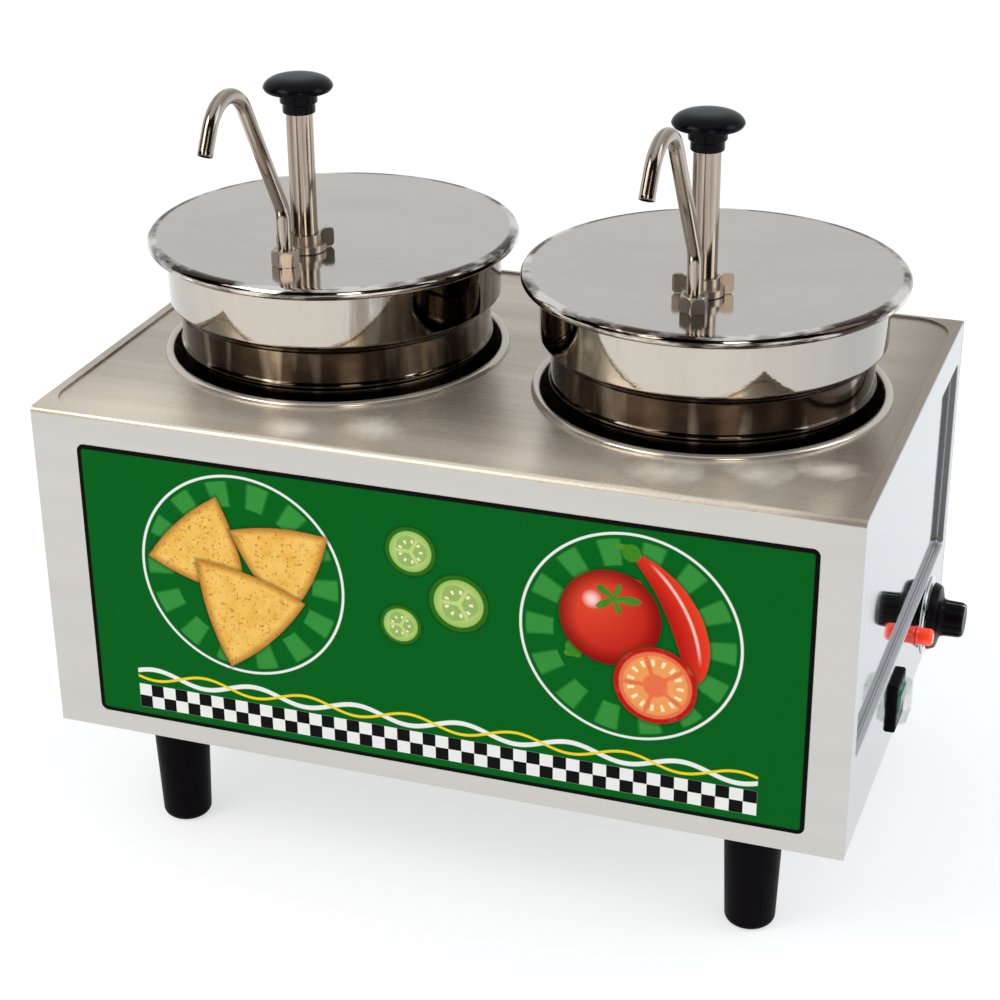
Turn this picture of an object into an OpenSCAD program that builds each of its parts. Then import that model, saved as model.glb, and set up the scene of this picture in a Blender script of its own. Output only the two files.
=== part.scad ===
/* [Casing] */
// Width of the casing, side to side
casing_w = 552; // [530:1:640]
// Depth of the casing, front to back
casing_d = 348; // [330:1:420]
// Height of the casing, from its bottom edge to its top rim
casing_h = 236; // [228:1:300]
// Thickness of the casing sheet
sheet_t = 1.2; // [0.8:0.1:1.6]
// Outside radius of the folds along the top edges
fold_r = 4; // [2.5:0.5:7]
// Width of the turned-in flanges of the casing and side panels
flange_w = 12; // [8:1:18]
// Gap left between sheets that slide into each other
sheet_fit = 0.2; // [0.1:0.05:0.4]

/* [Sunk deck] */
// Width of the raised rim round the sunk deck
deck_rim_w = 6; // [5:0.5:12]
// Depth of the deck below the rim
deck_drop = 1.5; // [1:0.1:4]
// Corner radius of the deck
deck_corner_r = 28; // [12:1:40]

/* [Side panels] */
// Depth of the pressed recess in each side panel
recess_depth = 8; // [2:0.5:9]
// Border in front of the recess
recess_front = 17; // [15:1:40]
// Border behind the recess
recess_back = 10; // [8:1:40]
// Border above the recess
recess_top = 29; // [15:1:60]
// Height of the flat control band under the recess
control_band_h = 64; // [60:1:90]
// Corner radius of the recess
recess_corner_r = 7; // [4:1:15]

/* [Front sign] */
// Width of the bare steel beside the printed sign
sign_side = 29; // [20:1:120]
// Height of the printed sign
sign_h = 200; // [120:1:205]
// Thickness of the sign film
sign_t = 0.4; // [0.2:0.1:1]
// Height of the sign's lower edge above the casing's lower edge
sign_up = 14; // [10:1:20]
// Distance of the sign's middle to the right of the casing's middle
sign_shift = 3; // [-5:1:5]

/* [Bottom] */
// Number of vent slots in each row of the bottom plate
vent_count = 9; // [3:1:12]
// Length of a vent slot
vent_l = 46; // [20:1:60]
// Width of a vent slot
vent_w = 5; // [3:0.5:8]

/* [Legs] */
// Height of the casing's bottom edge above the counter
leg_h = 89; // [70:1:120]
// Radius of a leg at its top
leg_top_r = 20; // [16:0.5:24]
// Radius of a leg at its foot
leg_foot_r = 17; // [13:0.5:20]
// Rounding of the leg's lower edge
leg_edge_r = 3; // [1:0.5:5]
// Distance of the leg's axis from the casing's side
leg_in_x = 68; // [40:1:90]
// Distance of the leg's axis from the casing's front and back
leg_in_y = 45; // [40:1:80]
// Radius of the leg's threaded stud
leg_stud_r = 4; // [3:0.5:5]

/* [Wells] */
// Width of the deck beside the rings of the pair of wells
deck_side = 22.2; // [16:0.2:40]
// Distance of the pair of wells to the right of the casing's middle
well_shift = 3; // [0:1:5]
// Thickness of the well's wall
well_t = 1; // [0.8:0.1:1.5]
// Width of the raised ring round the well's mouth
well_ring_w = 6.4; // [5:0.2:9]
// Height of the raised ring above the deck
well_ring_h = 3; // [2:0.5:5]
// Radius between the well's wall and its floor
well_corner_r = 12; // [8:1:20]

/* [Inset pots] */
// Outside height of an inset pot, below its lid
pot_h = 216.8; // [205:0.2:230]
// How far the polished band at the pot's top stands out past the well's wall
band_over = 0.8; // [0.6:0.1:2]
// How far the pot's body is set in from its band
body_in = 7.5; // [5:0.1:14]
// Height of the polished band, shoulder to lid
pot_band_h = 42.8; // [30:0.2:60]
// Height of the shoulder between band and body
pot_shoulder_h = 9; // [5:0.5:15]
// Thickness of the pot's wall
pot_t = 1; // [0.8:0.1:1.5]
// Radius of the bead rolled on the pot's rim
pot_bead_r = 1.8; // [1.2:0.1:2]
// Radius between the pot's wall and its bottom
pot_corner_r = 14; // [10:1:20]
// Height of the bead ring above the deck rim
pot_rib_up = 8; // [6:0.5:15]
// How far the bead ring stands out
pot_rib_out = 1.3; // [0.5:0.1:2]

/* [Lids] */
// How far a lid's edge stands out past the well's wall
lid_over = 13.1; // [12:0.1:14]
// Gap between the two lids
lid_apart = 15; // [10:1:30]
// Height of the lid's top above the casing's top rim
lid_up = 82; // [70:1:95]
// Thickness of the lid
lid_t = 1.2; // [1:0.1:1.6]
// Radius of the lid's rolled edge
lid_curl_r = 4; // [3.2:0.1:4.2]

/* [Pumps] */
// Distance of the plunger's axis in front of the lid's middle
pump_y = 47.5; // [40:0.5:54]
// Distance from the plunger's axis to the discharge riser's axis
riser_pitch = 32.5; // [29:0.5:36]
// Turn of the left lid, with its pump, from pointing straight ahead
lid_turn_left = 0; // [-8:0.1:8]
// Turn of the right lid, with its pump, from pointing straight ahead
lid_turn_right = 4.8; // [-8:0.1:8]
// Radius of the plunger tube
plunger_r = 8.75; // [7.5:0.05:9]
// Height of the bottom of the knob's neck above the lid, plunger up
knob_up = 89.5; // [85:0.5:110]
// Radius of the knob's cap
knob_r = 22.75; // [18:0.25:25]
// Height of the knob, neck included
knob_h = 28; // [22:0.5:36]
// Radius of the knob's neck
knob_neck_r = 12.4; // [10.5:0.1:15]
// Inside radius of the pump cylinder
bore_r = 15.5; // [14.5:0.1:17]
// Wall of the pump cylinder
bore_t = 1.5; // [1:0.1:2]
// Height of the pump's foot above the pot's floor
pump_foot_up = 8; // [5:1:15]
// Height of the valve body at the pump's foot
valve_h = 33; // [28:1:40]
// Length of the piston
piston_h = 12; // [9:0.5:16]
// Gap between the piston and its cylinder
piston_gap = 0.3; // [0.3:0.05:0.4]
// Gap between the piston seal and the cylinder
seal_gap = 0.08; // [0.05:0.01:0.1]
// Turns of the return spring
spring_turns = 14; // [8:1:16]
// Radius of the spring's wire
spring_wire_r = 0.9; // [0.6:0.1:1.1]

/* [Pump collars] */
// Height of the locking collar's hub
collar_h = 11; // [8:0.5:14]
// Reach of the collar's two wings from the plunger's axis
wing_r = 19.5; // [17:0.25:20]
// Height of the wings
wing_h = 12.5; // [8:0.5:16]
// Thickness of the wings
wing_t = 2.6; // [1.5:0.1:4]
// Angle of the left collar's wings from the lid's cross line
wing_turn_left = 40; // [0:1:60]
// Angle of the right collar's wings from the lid's cross line
wing_turn_right = 12; // [0:1:60]

/* [Discharge tubes] */
// Outside radius of the discharge tube
spout_r = 4.8; // [4:0.1:5.5]
// Wall of the discharge tube
spout_t = 0.9; // [0.7:0.1:1.2]
// Height above the lid where the riser starts to lean
lean_up = 30; // [24:1:40]
// Angle of the leaning stretch
lean_angle = 29.7; // [20:0.1:35]
// Radius of the lower bend
lean_bend_r = 24; // [15:1:30]
// Length of the leaning stretch
lean_l = 82; // [60:1:95]
// Radius of the gooseneck
neck_bend_r = 26; // [18:1:30]
// Angle that the gooseneck turns through
neck_turn = 121; // [100:1:140]
// Straight length at the outlet
outlet_l = 12; // [6:1:20]
// Radius of the hexagon nut, across corners
nut_r = 9.2; // [8:0.1:10]
// Height of the hexagon nut
nut_h = 10.5; // [7:0.5:12]

/* [Controls] */
// Distance of the thermostat's axis behind the casing's front
dial_y = 286; // [270:1:300]
// Height of the thermostat's axis above the casing's bottom edge
dial_z = 30; // [29:1:34]
// Radius of the chromed dial plate
dial_plate_r = 27.5; // [24:0.5:28.5]
// Thickness of the dial plate
dial_plate_t = 1.6; // [1:0.1:2.5]
// Radius of the knob's skirt
skirt_r = 23.5; // [20:0.5:26]
// Thickness of the knob's skirt
skirt_h = 6.5; // [4:0.5:9]
// Radius of the knob's grip
grip_r = 12.2; // [10:0.2:15]
// Length of the knob's grip beyond its skirt
grip_l = 18; // [12:0.5:24]
// Radius of the thermostat's shaft
shaft_r = 3; // [2.5:0.1:4]
// Distance of the pilot lamp's axis behind the casing's front
lamp_y = 238; // [225:1:245]
// Height of the lamp's axis above the casing's bottom edge
lamp_z = 38; // [25:1:45]
// Radius of the lamp's lens
lamp_r = 6.3; // [5:0.1:8]
// How far the lens stands out of the side
lamp_out = 12; // [6:0.5:15]
// Distance of the switch's middle behind the casing's front
switch_y = 160; // [120:1:180]
// Height of the switch's middle above the casing's bottom edge
switch_z = 29; // [26:1:40]
// Width of the switch's bezel, front to back
bezel_w = 32; // [28:0.5:36]
// Height of the switch's bezel
bezel_h = 36; // [33:0.5:42]
// How far the bezel stands out of the side
bezel_out = 4; // [3:0.5:6]
// Angle that the rocker turns through
rocker_throw = 20; // [12:1:22]
// How far the clear cover stands beyond the bezel
cover_out = 6.5; // [6:0.5:9]

/* [Cord gland] */
// Radius of the gland's bore
gland_bore_r = 4.5; // [3:0.1:6]
// Distance of the gland from the casing's right-hand side
gland_in = 61; // [50:1:150]
// Height of the gland above the casing's bottom edge
gland_z = 34; // [25:1:60]

/* [Hidden] */
$fn = 96;

// Cut depth past a face, and the gap between bodies that move past each other
cut = 1;
body_gap = 0.3;

// Heights from the counter up
top_z = leg_h + casing_h;
deck_z = top_z - deck_drop;
plate_z = leg_h + sheet_t;
plate_top_z = plate_z + sheet_t;
lid_z = top_z + lid_up;
lid_under_z = lid_z - lid_t;
pot_floor_z = lid_under_z - body_gap - pot_h;
well_floor_z = pot_floor_z;
band_low_z = lid_under_z - pot_band_h;
pump_foot_z = pot_floor_z + pot_t + pump_foot_up;
valve_top_z = pump_foot_z + valve_h;
knob_z = lid_z + knob_up;
pump_flange_t = 2.5;
piston_z = lid_under_z - pump_flange_t - body_gap - piston_h;
spring_l = piston_z - valve_top_z;
riser_z = pump_foot_z + 22;

// Places across and along
half_w = casing_w / 2;
half_d = casing_d / 2;
front_y = -half_d;
sign_w = casing_w - 2 * sign_side;
well_r = (half_w - deck_side - well_ring_w - lid_over - lid_apart / 2) / 2;
lid_r = well_r + lid_over;
pot_band_r = well_r + band_over;
pot_body_r = pot_band_r - body_in;
well_pitch = 2 * lid_r + lid_apart;
well_x = [well_shift - well_pitch / 2, well_shift + well_pitch / 2];
dial_at = [half_w, front_y + dial_y, leg_h + dial_z];
lamp_at = [half_w, front_y + lamp_y, leg_h + lamp_z];
switch_at = [half_w, front_y + switch_y, leg_h + switch_z];
gland_at = [half_w - gland_in, half_d, leg_h + gland_z];
leg_places = [for (sx = [-1, 1], sy = [-1, 1]) [sx * (half_w - leg_in_x), sy * (half_d - leg_in_y)]];

// Discharge tube's centre line, as distances in front of the riser and above the lid
lean_end = [lean_bend_r * (1 - cos(lean_angle)), lean_up + lean_bend_r * sin(lean_angle)];
neck_start = lean_end + lean_l * [sin(lean_angle), cos(lean_angle)];
neck_mid = neck_start + neck_bend_r * [cos(lean_angle), -sin(lean_angle)];
exit_angle = lean_angle + neck_turn;
neck_end = neck_mid + neck_bend_r * [-cos(exit_angle), sin(exit_angle)];
outlet_end = neck_end + outlet_l * [sin(exit_angle), cos(exit_angle)];
lid_turn = [lid_turn_left, lid_turn_right];
function outlet_y(a) = (pump_y + riser_pitch + outlet_end[0]) * cos(a)
    + spout_r * norm([cos(exit_angle) * cos(a), sin(a)]);

// Gland and knob reach, which set the middle of the footprint
gland_out = 16;
knob_gap = 0.8;
dial_reach = dial_plate_t + knob_gap + skirt_h + grip_l;
reach_front = max(half_d + sign_t, outlet_y(lid_turn_left), outlet_y(lid_turn_right));
reach_back = half_d + gland_out;
shift = [-dial_reach / 2, (reach_front - reach_back) / 2, 0];

// Points of an arc round c in the plane of a profile
function arc(c, r, a, b, n = 8) = [for (i = [0:n]) let (at = a + (b - a) * i / n) c + r * [cos(at), sin(at)]];

// Rectangle with round corners, middle at the origin
module round_rect(w, h, r) {
    square([w - 2 * r, h], center = true);
    square([w, h - 2 * r], center = true);
    for (x = [-1, 1], y = [-1, 1]) translate([x * (w / 2 - r), y * (h / 2 - r)]) circle(r);
}

// Rectangle standing on the origin with its two upper corners round
module round_top(w, h, r) {
    translate([-w / 2, 0]) square([w, h - r]);
    translate([-w / 2 + r, 0]) square([w - 2 * r, h]);
    for (x = [-1, 1]) translate([x * (w / 2 - r), h - r]) circle(r);
}

// Turns a profile drawn in depth and height into a bar across the casing
module across(length) {
    rotate([90, 0, 90]) linear_extrude(length, center = true) children();
}

// Stands children on the right-hand side, with their Z pointing out of it
module on_side(at) {
    translate(at) rotate([0, 90, 0]) children();
}

// Straight round bars through a list of points, with round corners
module bent_wire(points, r) {
    for (i = [0:len(points) - 2]) {
        step = points[i + 1] - points[i];
        length = norm(step);
        translate(points[i]) rotate([0, acos(step[2] / length), atan2(step[1], step[0])])
            cylinder(length, r = r, $fn = 24);
    }
    for (i = [1:len(points) - 2]) translate(points[i]) sphere(r, $fn = 24);
}

// Places a child on the lid of one side, at the plunger's axis
module at_pump(side) {
    translate([well_x[side], 0, 0]) rotate([0, 0, lid_turn[side]]) translate([0, -pump_y, 0]) children();
}

// Front, top and back, folded from one sheet, with the deck pressed into the top
module casing() {
    deck_w = casing_w - 2 * deck_rim_w;
    deck_d = casing_d - 2 * deck_rim_w;
    color("gainsboro") difference() {
        union() {
            translate([0, 0, leg_h]) across(casing_w) difference() {
                round_top(casing_d, casing_h, fold_r);
                translate([0, -cut])
                    round_top(casing_d - 2 * sheet_t, casing_h - sheet_t + cut, fold_r - sheet_t);
            }
            for (y = [-1, 1]) translate([0, y * (half_d - flange_w / 2), leg_h + sheet_t / 2])
                cube([casing_w - 2 * (sheet_t + sheet_fit), flange_w, sheet_t], center = true);
            translate([0, 0, deck_z - sheet_t]) linear_extrude(deck_drop + sheet_t)
                round_rect(deck_w + 2 * sheet_t, deck_d + 2 * sheet_t, deck_corner_r + sheet_t);
        }
        translate([0, 0, deck_z]) linear_extrude(deck_drop + cut) round_rect(deck_w, deck_d, deck_corner_r);
        for (x = well_x) translate([x, 0, deck_z - 2 * sheet_t])
            cylinder(4 * sheet_t, r = well_r + well_t + 0.8);
        translate(gland_at + [0, cut, 0]) rotate([90, 0, 0])
            cylinder(sheet_t + 2 * cut, r = gland_thread_r + 0.3);
        screw_holes();
    }
}

// Side panel with its pressed recess and turned-in flanges, drawn for the right-hand side
module side_panel() {
    panel_d = casing_d - 2 * (sheet_t + sheet_fit);
    panel_h = casing_h - sheet_t - sheet_fit;
    recess_d = casing_d - recess_front - recess_back;
    recess_h = casing_h - recess_top - control_band_h;
    recess_mid = [(recess_front - recess_back) / 2, control_band_h + recess_h / 2];
    translate([half_w - sheet_t / 2, 0, leg_h]) difference() {
        union() {
            across(sheet_t) round_top(panel_d, panel_h, fold_r);
            translate([-recess_depth / 2, 0, 0]) across(recess_depth + sheet_t) translate(recess_mid)
                round_rect(recess_d + 2 * sheet_t, recess_h + 2 * sheet_t, recess_corner_r + sheet_t);
            for (y = [-1, 1])
                translate([sheet_t / 2 - flange_w, y * (panel_d - sheet_t) / 2 - sheet_t / 2, plate_clear])
                    cube([flange_w, sheet_t, panel_h - fold_r - plate_clear]);
        }
        translate([sheet_t / 2 + cut / 2 - recess_depth / 2, 0, 0]) across(recess_depth + cut)
            translate(recess_mid) round_rect(recess_d, recess_h, recess_corner_r);
    }
}

// Height above the casing's bottom edge that stays clear for the bottom plate and its flanges
plate_clear = 3 * sheet_t + sheet_fit;

module side_panel_left() {
    color("lightsteelblue") mirror([1, 0, 0]) side_panel();
}

module side_panel_right() {
    color("lightsteelblue") difference() {
        side_panel();
        on_side(dial_at - [2 * sheet_t, 0, 0]) cylinder(4 * sheet_t, r = bush_r + 0.3);
        on_side(lamp_at - [2 * sheet_t, 0, 0]) cylinder(4 * sheet_t, r = lamp_hole_r);
        on_side(switch_at - [2 * sheet_t, 0, 0]) linear_extrude(4 * sheet_t) square(switch_hole, center = true);
    }
}

// Places of the screws that hold the bottom plate to the casing's lower flanges
screw_r = 2;
screw_places = [for (sx = [-2:2], sy = [-1, 1])
    [sx * (half_w - 2 * flange_w) / 2, sy * (half_d - sheet_t - (flange_w - sheet_t) / 2)]];

module screw_holes() {
    for (p = screw_places) translate([p[0], p[1], leg_h - cut])
        cylinder(3 * sheet_t + 2 * cut, r = screw_r + 0.1, $fn = 32);
}

// Bottom plate on the casing's flanges, with vent slots, screw holes and leg holes
module bottom_plate() {
    plate_w = casing_w - 2 * (sheet_t + sheet_fit);
    plate_d = casing_d - 2 * (sheet_t + sheet_fit);
    vent_step = (casing_w - 2 * leg_in_x - 4 * leg_top_r) / (vent_count - 1);
    color("silver") difference() {
        translate([-plate_w / 2, -plate_d / 2, plate_z]) cube([plate_w, plate_d, sheet_t]);
        for (i = [0:vent_count - 1], y = [-1, 1])
            translate([(i - (vent_count - 1) / 2) * vent_step, y * leg_in_y, plate_z - cut])
                linear_extrude(sheet_t + 2 * cut) round_rect(vent_w, vent_l, vent_w / 2 - 0.01);
        for (p = leg_places) translate([p[0], p[1], plate_z - cut])
            cylinder(sheet_t + 2 * cut, r = leg_stud_r + 0.2);
        screw_holes();
    }
}

// Pan-head screws, from below through the flanges, with their clip nuts above
module casing_screws() {
    head_r = 3.6;
    head_h = 2.2;
    nut_t = 2.4;
    color("silver") for (p = screw_places) translate([p[0], p[1], 0]) {
        translate([0, 0, leg_h - head_h]) cylinder(head_h, r1 = head_r - 0.8, r2 = head_r, $fn = 32);
        translate([0, 0, leg_h - 0.5]) cylinder(3 * sheet_t + nut_t, r = screw_r, $fn = 32);
        translate([0, 0, plate_top_z]) cylinder(nut_t, r = 3.8, $fn = 6);
    }
}

// Printed film on the front
module front_sign() {
    color("seagreen") translate([sign_shift, front_y, leg_h + sign_up + sign_h / 2]) rotate([90, 0, 0])
        linear_extrude(sign_t) round_rect(sign_w, sign_h, 5);
}

// Well pan: a raised ring on the deck, a wall and a floor
module well(side) {
    ring = well_ring_w / 2;
    rise = well_ring_h / ring;
    low = well_floor_z;
    corner = [well_r - well_corner_r, low + well_corner_r];
    outer = concat([[0, low - well_t]], arc(corner, well_corner_r + well_t, -90, 0), [[well_r + well_t, deck_z]],
        [[well_r + well_ring_w, deck_z]]);
    ring_arc = [for (a = [0:15:180]) [well_r + ring + ring * cos(a), deck_z + 0.01 + ring * rise * sin(a)]];
    inner = concat([[well_r, deck_z]], arc(corner, well_corner_r, 0, -90), [[0, low]]);
    color("lightgray") translate([well_x[side], 0, 0]) rotate_extrude() polygon(concat(outer, ring_arc, inner));
}

// Blanket wrapped round a well
module insulation(side) {
    inside_r = well_r + well_t + body_gap;
    blanket_t = half_w - recess_depth - 2 * sheet_t - max(well_x) - inside_r;
    blanket_z = well_floor_z + well_corner_r;
    color("khaki") translate([well_x[side], 0, blanket_z]) difference() {
        cylinder(deck_z - sheet_t - body_gap - blanket_z, r = inside_r + blanket_t);
        translate([0, 0, -cut]) cylinder(casing_h, r = inside_r);
    }
}

// Tubular heating element under a well: an open ring with two ends turned down
element_tube_r = 4;
element_r = 70;
element_gap = 40;
element_z = well_floor_z - well_t - body_gap - element_tube_r;
element_end_l = 34;

module element(side) {
    color("dimgray") translate([well_x[side], 0, element_z]) {
        rotate([0, 0, element_gap / 2]) rotate_extrude(angle = 360 - element_gap)
            translate([element_r, 0]) circle(element_tube_r, $fn = 32);
        for (a = [-1, 1]) rotate([0, 0, a * element_gap / 2]) translate([element_r, 0, 0]) {
            sphere(element_tube_r, $fn = 32);
            translate([0, 0, -element_end_l]) cylinder(element_end_l, r = element_tube_r, $fn = 32);
            translate([0, 0, -element_end_l - 10]) cylinder(10 + 1, r = 1.6, $fn = 24);
        }
    }
}

// Bar that presses an element against its well, on a stud with a nut
module clamp(side) {
    bar_l = 2 * element_r + 30;
    bar_w = 26;
    bar_t = 3;
    bar_z = element_z - element_tube_r - body_gap - bar_t;
    stud_r = 4;
    color("slategray") translate([well_x[side], 0, 0]) {
        difference() {
            translate([-bar_w / 2, -bar_l / 2, bar_z]) cube([bar_w, bar_l, bar_t]);
            translate([0, 0, bar_z - cut]) cylinder(bar_t + 2 * cut, r = stud_r + 0.2, $fn = 48);
        }
        translate([0, 0, bar_z - 14]) cylinder(well_floor_z - well_t - bar_z + 14, r = stud_r, $fn = 48);
        translate([0, 0, bar_z - 6]) cylinder(6, r = 7.5, $fn = 6);
    }
}

// Tapered leg with a rounded foot and a blind hole for its stud
module leg(i) {
    hole_l = 26;
    edge = [leg_foot_r - leg_edge_r, leg_edge_r];
    outline = concat([[0, 0]], arc(edge, leg_edge_r, -90, 0), [[leg_top_r, plate_z - 6], [leg_top_r, plate_z], [0, plate_z]]);
    color([0.06, 0.06, 0.06]) translate([leg_places[i][0], leg_places[i][1], 0]) difference() {
        rotate_extrude() polygon(outline);
        translate([0, 0, plate_z - hole_l]) cylinder(hole_l + cut, r = leg_stud_r + 0.1);
    }
}

// Threaded studs that hold the legs, each with a washer and nut on the bottom plate
module leg_studs() {
    stud_in = 24;
    washer_t = 1.6;
    nut_t = 6;
    color("silver") for (p = leg_places) translate([p[0], p[1], 0]) {
        translate([0, 0, plate_z - stud_in]) cylinder(stud_in + sheet_t + washer_t + nut_t + 3, r = leg_stud_r, $fn = 48);
        translate([0, 0, plate_top_z]) cylinder(washer_t, r = 9);
        translate([0, 0, plate_top_z + washer_t]) cylinder(nut_t, r = 7.5, $fn = 6);
    }
}

// Thermostat behind the right-hand panel, with a threaded bush through it
bush_r = 5;
bush_out = dial_plate_t + knob_gap / 2;
thermostat_l = 28;

module thermostat() {
    color("sienna") difference() {
        union() {
            on_side(dial_at - [sheet_t + thermostat_l, 0, 0]) linear_extrude(thermostat_l) round_rect(38, 44, 3);
            on_side(dial_at - [sheet_t + 1, 0, 0]) cylinder(sheet_t + 1 + bush_out, r = bush_r);
            for (y = [-12, 12]) translate(dial_at + [-sheet_t - thermostat_l - 9, y - 3.2, -0.4]) cube([10, 6.4, 0.8]);
        }
        on_side(dial_at - [sheet_t + shaft_in + 1, 0, 0]) cylinder(60, r = shaft_r + 0.08);
    }
}

// Sensing bulb under the right-hand well, with its capillary to the thermostat
module capillary() {
    bulb_r = 3;
    bulb_l = 70;
    bulb_x = well_x[1] + 30;
    bulb_z = well_floor_z - well_t - body_gap - bulb_r;
    bend_y = bulb_l / 2 + 10;
    thermostat_end = dial_at - [sheet_t + thermostat_l, 0, 14];
    color("peru") {
        translate([bulb_x, -bulb_l / 2, bulb_z]) rotate([-90, 0, 0]) cylinder(bulb_l, r = bulb_r, $fn = 32);
        bent_wire([[bulb_x, bulb_l / 2 - 1, bulb_z], [bulb_x, bend_y, bulb_z], [bulb_x, bend_y, thermostat_end[2]],
            [bulb_x, thermostat_end[1], thermostat_end[2]], thermostat_end], 1.1);
    }
}

// Chromed round plate behind the thermostat's knob
module dial_plate() {
    color("white") on_side(dial_at) difference() {
        union() {
            cylinder(dial_plate_t - 0.6, r = dial_plate_r);
            translate([0, 0, dial_plate_t - 0.6]) cylinder(0.6, r1 = dial_plate_r, r2 = dial_plate_r - 0.8);
        }
        translate([0, 0, -cut]) cylinder(dial_plate_t + 2 * cut, r = bush_r + 0.3);
    }
}

// Thermostat knob: a bevelled skirt and a grip with flutes
module dial_knob() {
    flutes = 12;
    flute_r = 1.4;
    low = dial_plate_t + knob_gap;
    color([0.07, 0.07, 0.07]) on_side(dial_at + [low, 0, 0]) difference() {
        rotate_extrude() polygon(concat([[0, 0], [skirt_r, 0], [skirt_r, 1.5]],
            [[skirt_r - 1.6, skirt_h - 2], [grip_r + 2.2, skirt_h], [grip_r + 0.5, skirt_h + 0.6]],
            arc([grip_r - 2.5, skirt_h + grip_l - 2], 2, 0, 90), [[0, skirt_h + grip_l]]));
        for (i = [1:flutes - 1]) rotate([0, 0, 180 + i * 360 / flutes]) translate([grip_r + 0.6, 0, skirt_h + 0.8])
            cylinder(grip_l + cut, r = flute_r, $fn = 24);
        translate([0, 0, -cut]) cylinder(shaft_grip_l + cut, r = shaft_r + 0.02);
    }
}

// Shaft that the knob turns in the thermostat
shaft_in = 16;
shaft_grip_l = 14;

module dial_shaft() {
    color("silver") on_side(dial_at - [sheet_t + shaft_in, 0, 0])
        cylinder(sheet_t + shaft_in + dial_plate_t + knob_gap + shaft_grip_l - 0.5, r = shaft_r);
}

// Rocker switch: body behind the panel, bezel on it, rocker and clear cover
switch_hole = [bezel_h - 9, bezel_w - 9];
switch_inner = switch_hole - [3, 3];
switch_depth = 24;
pivot_in = 1;

module switch_body() {
    wall = (switch_hole - switch_inner) / 2;
    color([0.1, 0.1, 0.1]) {
        on_side(switch_at - [sheet_t + switch_depth, 0, 0]) difference() {
            linear_extrude(switch_depth + sheet_t) square(switch_hole - [0.4, 0.4], center = true);
            translate([0, 0, switch_depth - 9]) linear_extrude(40) square(switch_inner, center = true);
        }
        for (z = [-7, 0, 7]) translate(switch_at + [-sheet_t - switch_depth - 8, -3.2, z - 0.4]) cube([9, 6.4, 0.8]);
    }
}

module switch_bezel() {
    color([0.05, 0.05, 0.05]) on_side(switch_at) difference() {
        union() {
            linear_extrude(bezel_out - 1) round_rect(bezel_h, bezel_w, 2);
            translate([0, 0, bezel_out - 1]) linear_extrude(1) round_rect(bezel_h - 1.2, bezel_w - 1.2, 1.5);
        }
        translate([0, 0, -cut]) linear_extrude(bezel_out + 2 * cut) square(switch_inner, center = true);
    }
}

// Rocker with two flat faces that meet over its pivot, resting with its upper half out
module switch_rocker() {
    half_h = switch_inner[0] / 2 - 1.6;
    rise = 6.6;
    side_gap = 0.5;
    face = rise - half_h * tan(rocker_throw / 2 - 2);
    color([0.0, 0.5, 0.3]) translate(switch_at - [pivot_in, 0, 0]) rotate([0, rocker_throw / 2, 0]) rotate([90, 0, 0])
        linear_extrude(switch_inner[1] - 2 * side_gap, center = true)
            polygon([[-3, -half_h + 3], [face, -half_h], [rise, 0], [face, half_h], [-3, half_h - 3]]);
}

// Clear cover over the rocker
module switch_cover() {
    cover_t = 1;
    outer = switch_inner + [5, 5];
    color([0.9, 0.95, 0.95], 0.4) on_side(switch_at + [bezel_out, 0, 0]) difference() {
        union() {
            linear_extrude(cover_out - 1.5) round_rect(outer[0], outer[1], 3);
            translate([0, 0, cover_out - 1.5]) linear_extrude(1.5) round_rect(outer[0] - 1.6, outer[1] - 1.6, 2.4);
        }
        translate([0, 0, -cut]) linear_extrude(cover_out - cover_t + cut) round_rect(outer[0] - 2.6, outer[1] - 2.6, 1.8);
    }
}

// Pilot lamp: red lens outside, body with its spring clip inside
lamp_hole_r = lamp_r - 1;

module pilot_lamp_lens() {
    low = lamp_r + 0.9;
    color("red") on_side(lamp_at) rotate_extrude() polygon(concat([[0, 0], [low, 0], [low, 1.2], [lamp_r, 1.8]],
        arc([lamp_r - 1.5, lamp_out - 1.5], 1.5, 0, 90), [[0, lamp_out]]));
}

module pilot_lamp_body() {
    body_l = 26;
    clip_t = 1.2;
    color("whitesmoke") {
        on_side(lamp_at - [body_l, 0, 0]) cylinder(body_l, r = lamp_hole_r - 0.1);
        on_side(lamp_at - [sheet_t + clip_t, 0, 0]) difference() {
            cylinder(clip_t, r = lamp_r + 3);
            translate([0, 0, -cut]) cylinder(clip_t + 2 * cut, r = lamp_hole_r + 0.1);
        }
        for (y = [-2.5, 2.5]) on_side(lamp_at + [-body_l - 8, y, 0]) cylinder(9, r = 0.9, $fn = 24);
    }
}

// Terminal block on the bottom plate
block_at = [-10, 60, plate_top_z];
block_pitch = 14;

module terminal_block() {
    poles = 4;
    base = [poles * block_pitch + 4, 24, 14];
    color("ivory") translate(block_at) {
        difference() {
            translate([-base[0] / 2, -base[1] / 2, 0]) cube(base);
            for (i = [0:poles - 1], y = [-1, 1])
                translate([(i - (poles - 1) / 2) * block_pitch, y * 8.5, base[2] - 5])
                    cube([block_pitch - 4, 9, 12], center = true);
        }
        for (i = [0:poles - 1], y = [-1, 1])
            translate([(i - (poles - 1) / 2) * block_pitch, y * 8, base[2] - 11]) cylinder(4, r = 3, $fn = 32);
    }
}

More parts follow.
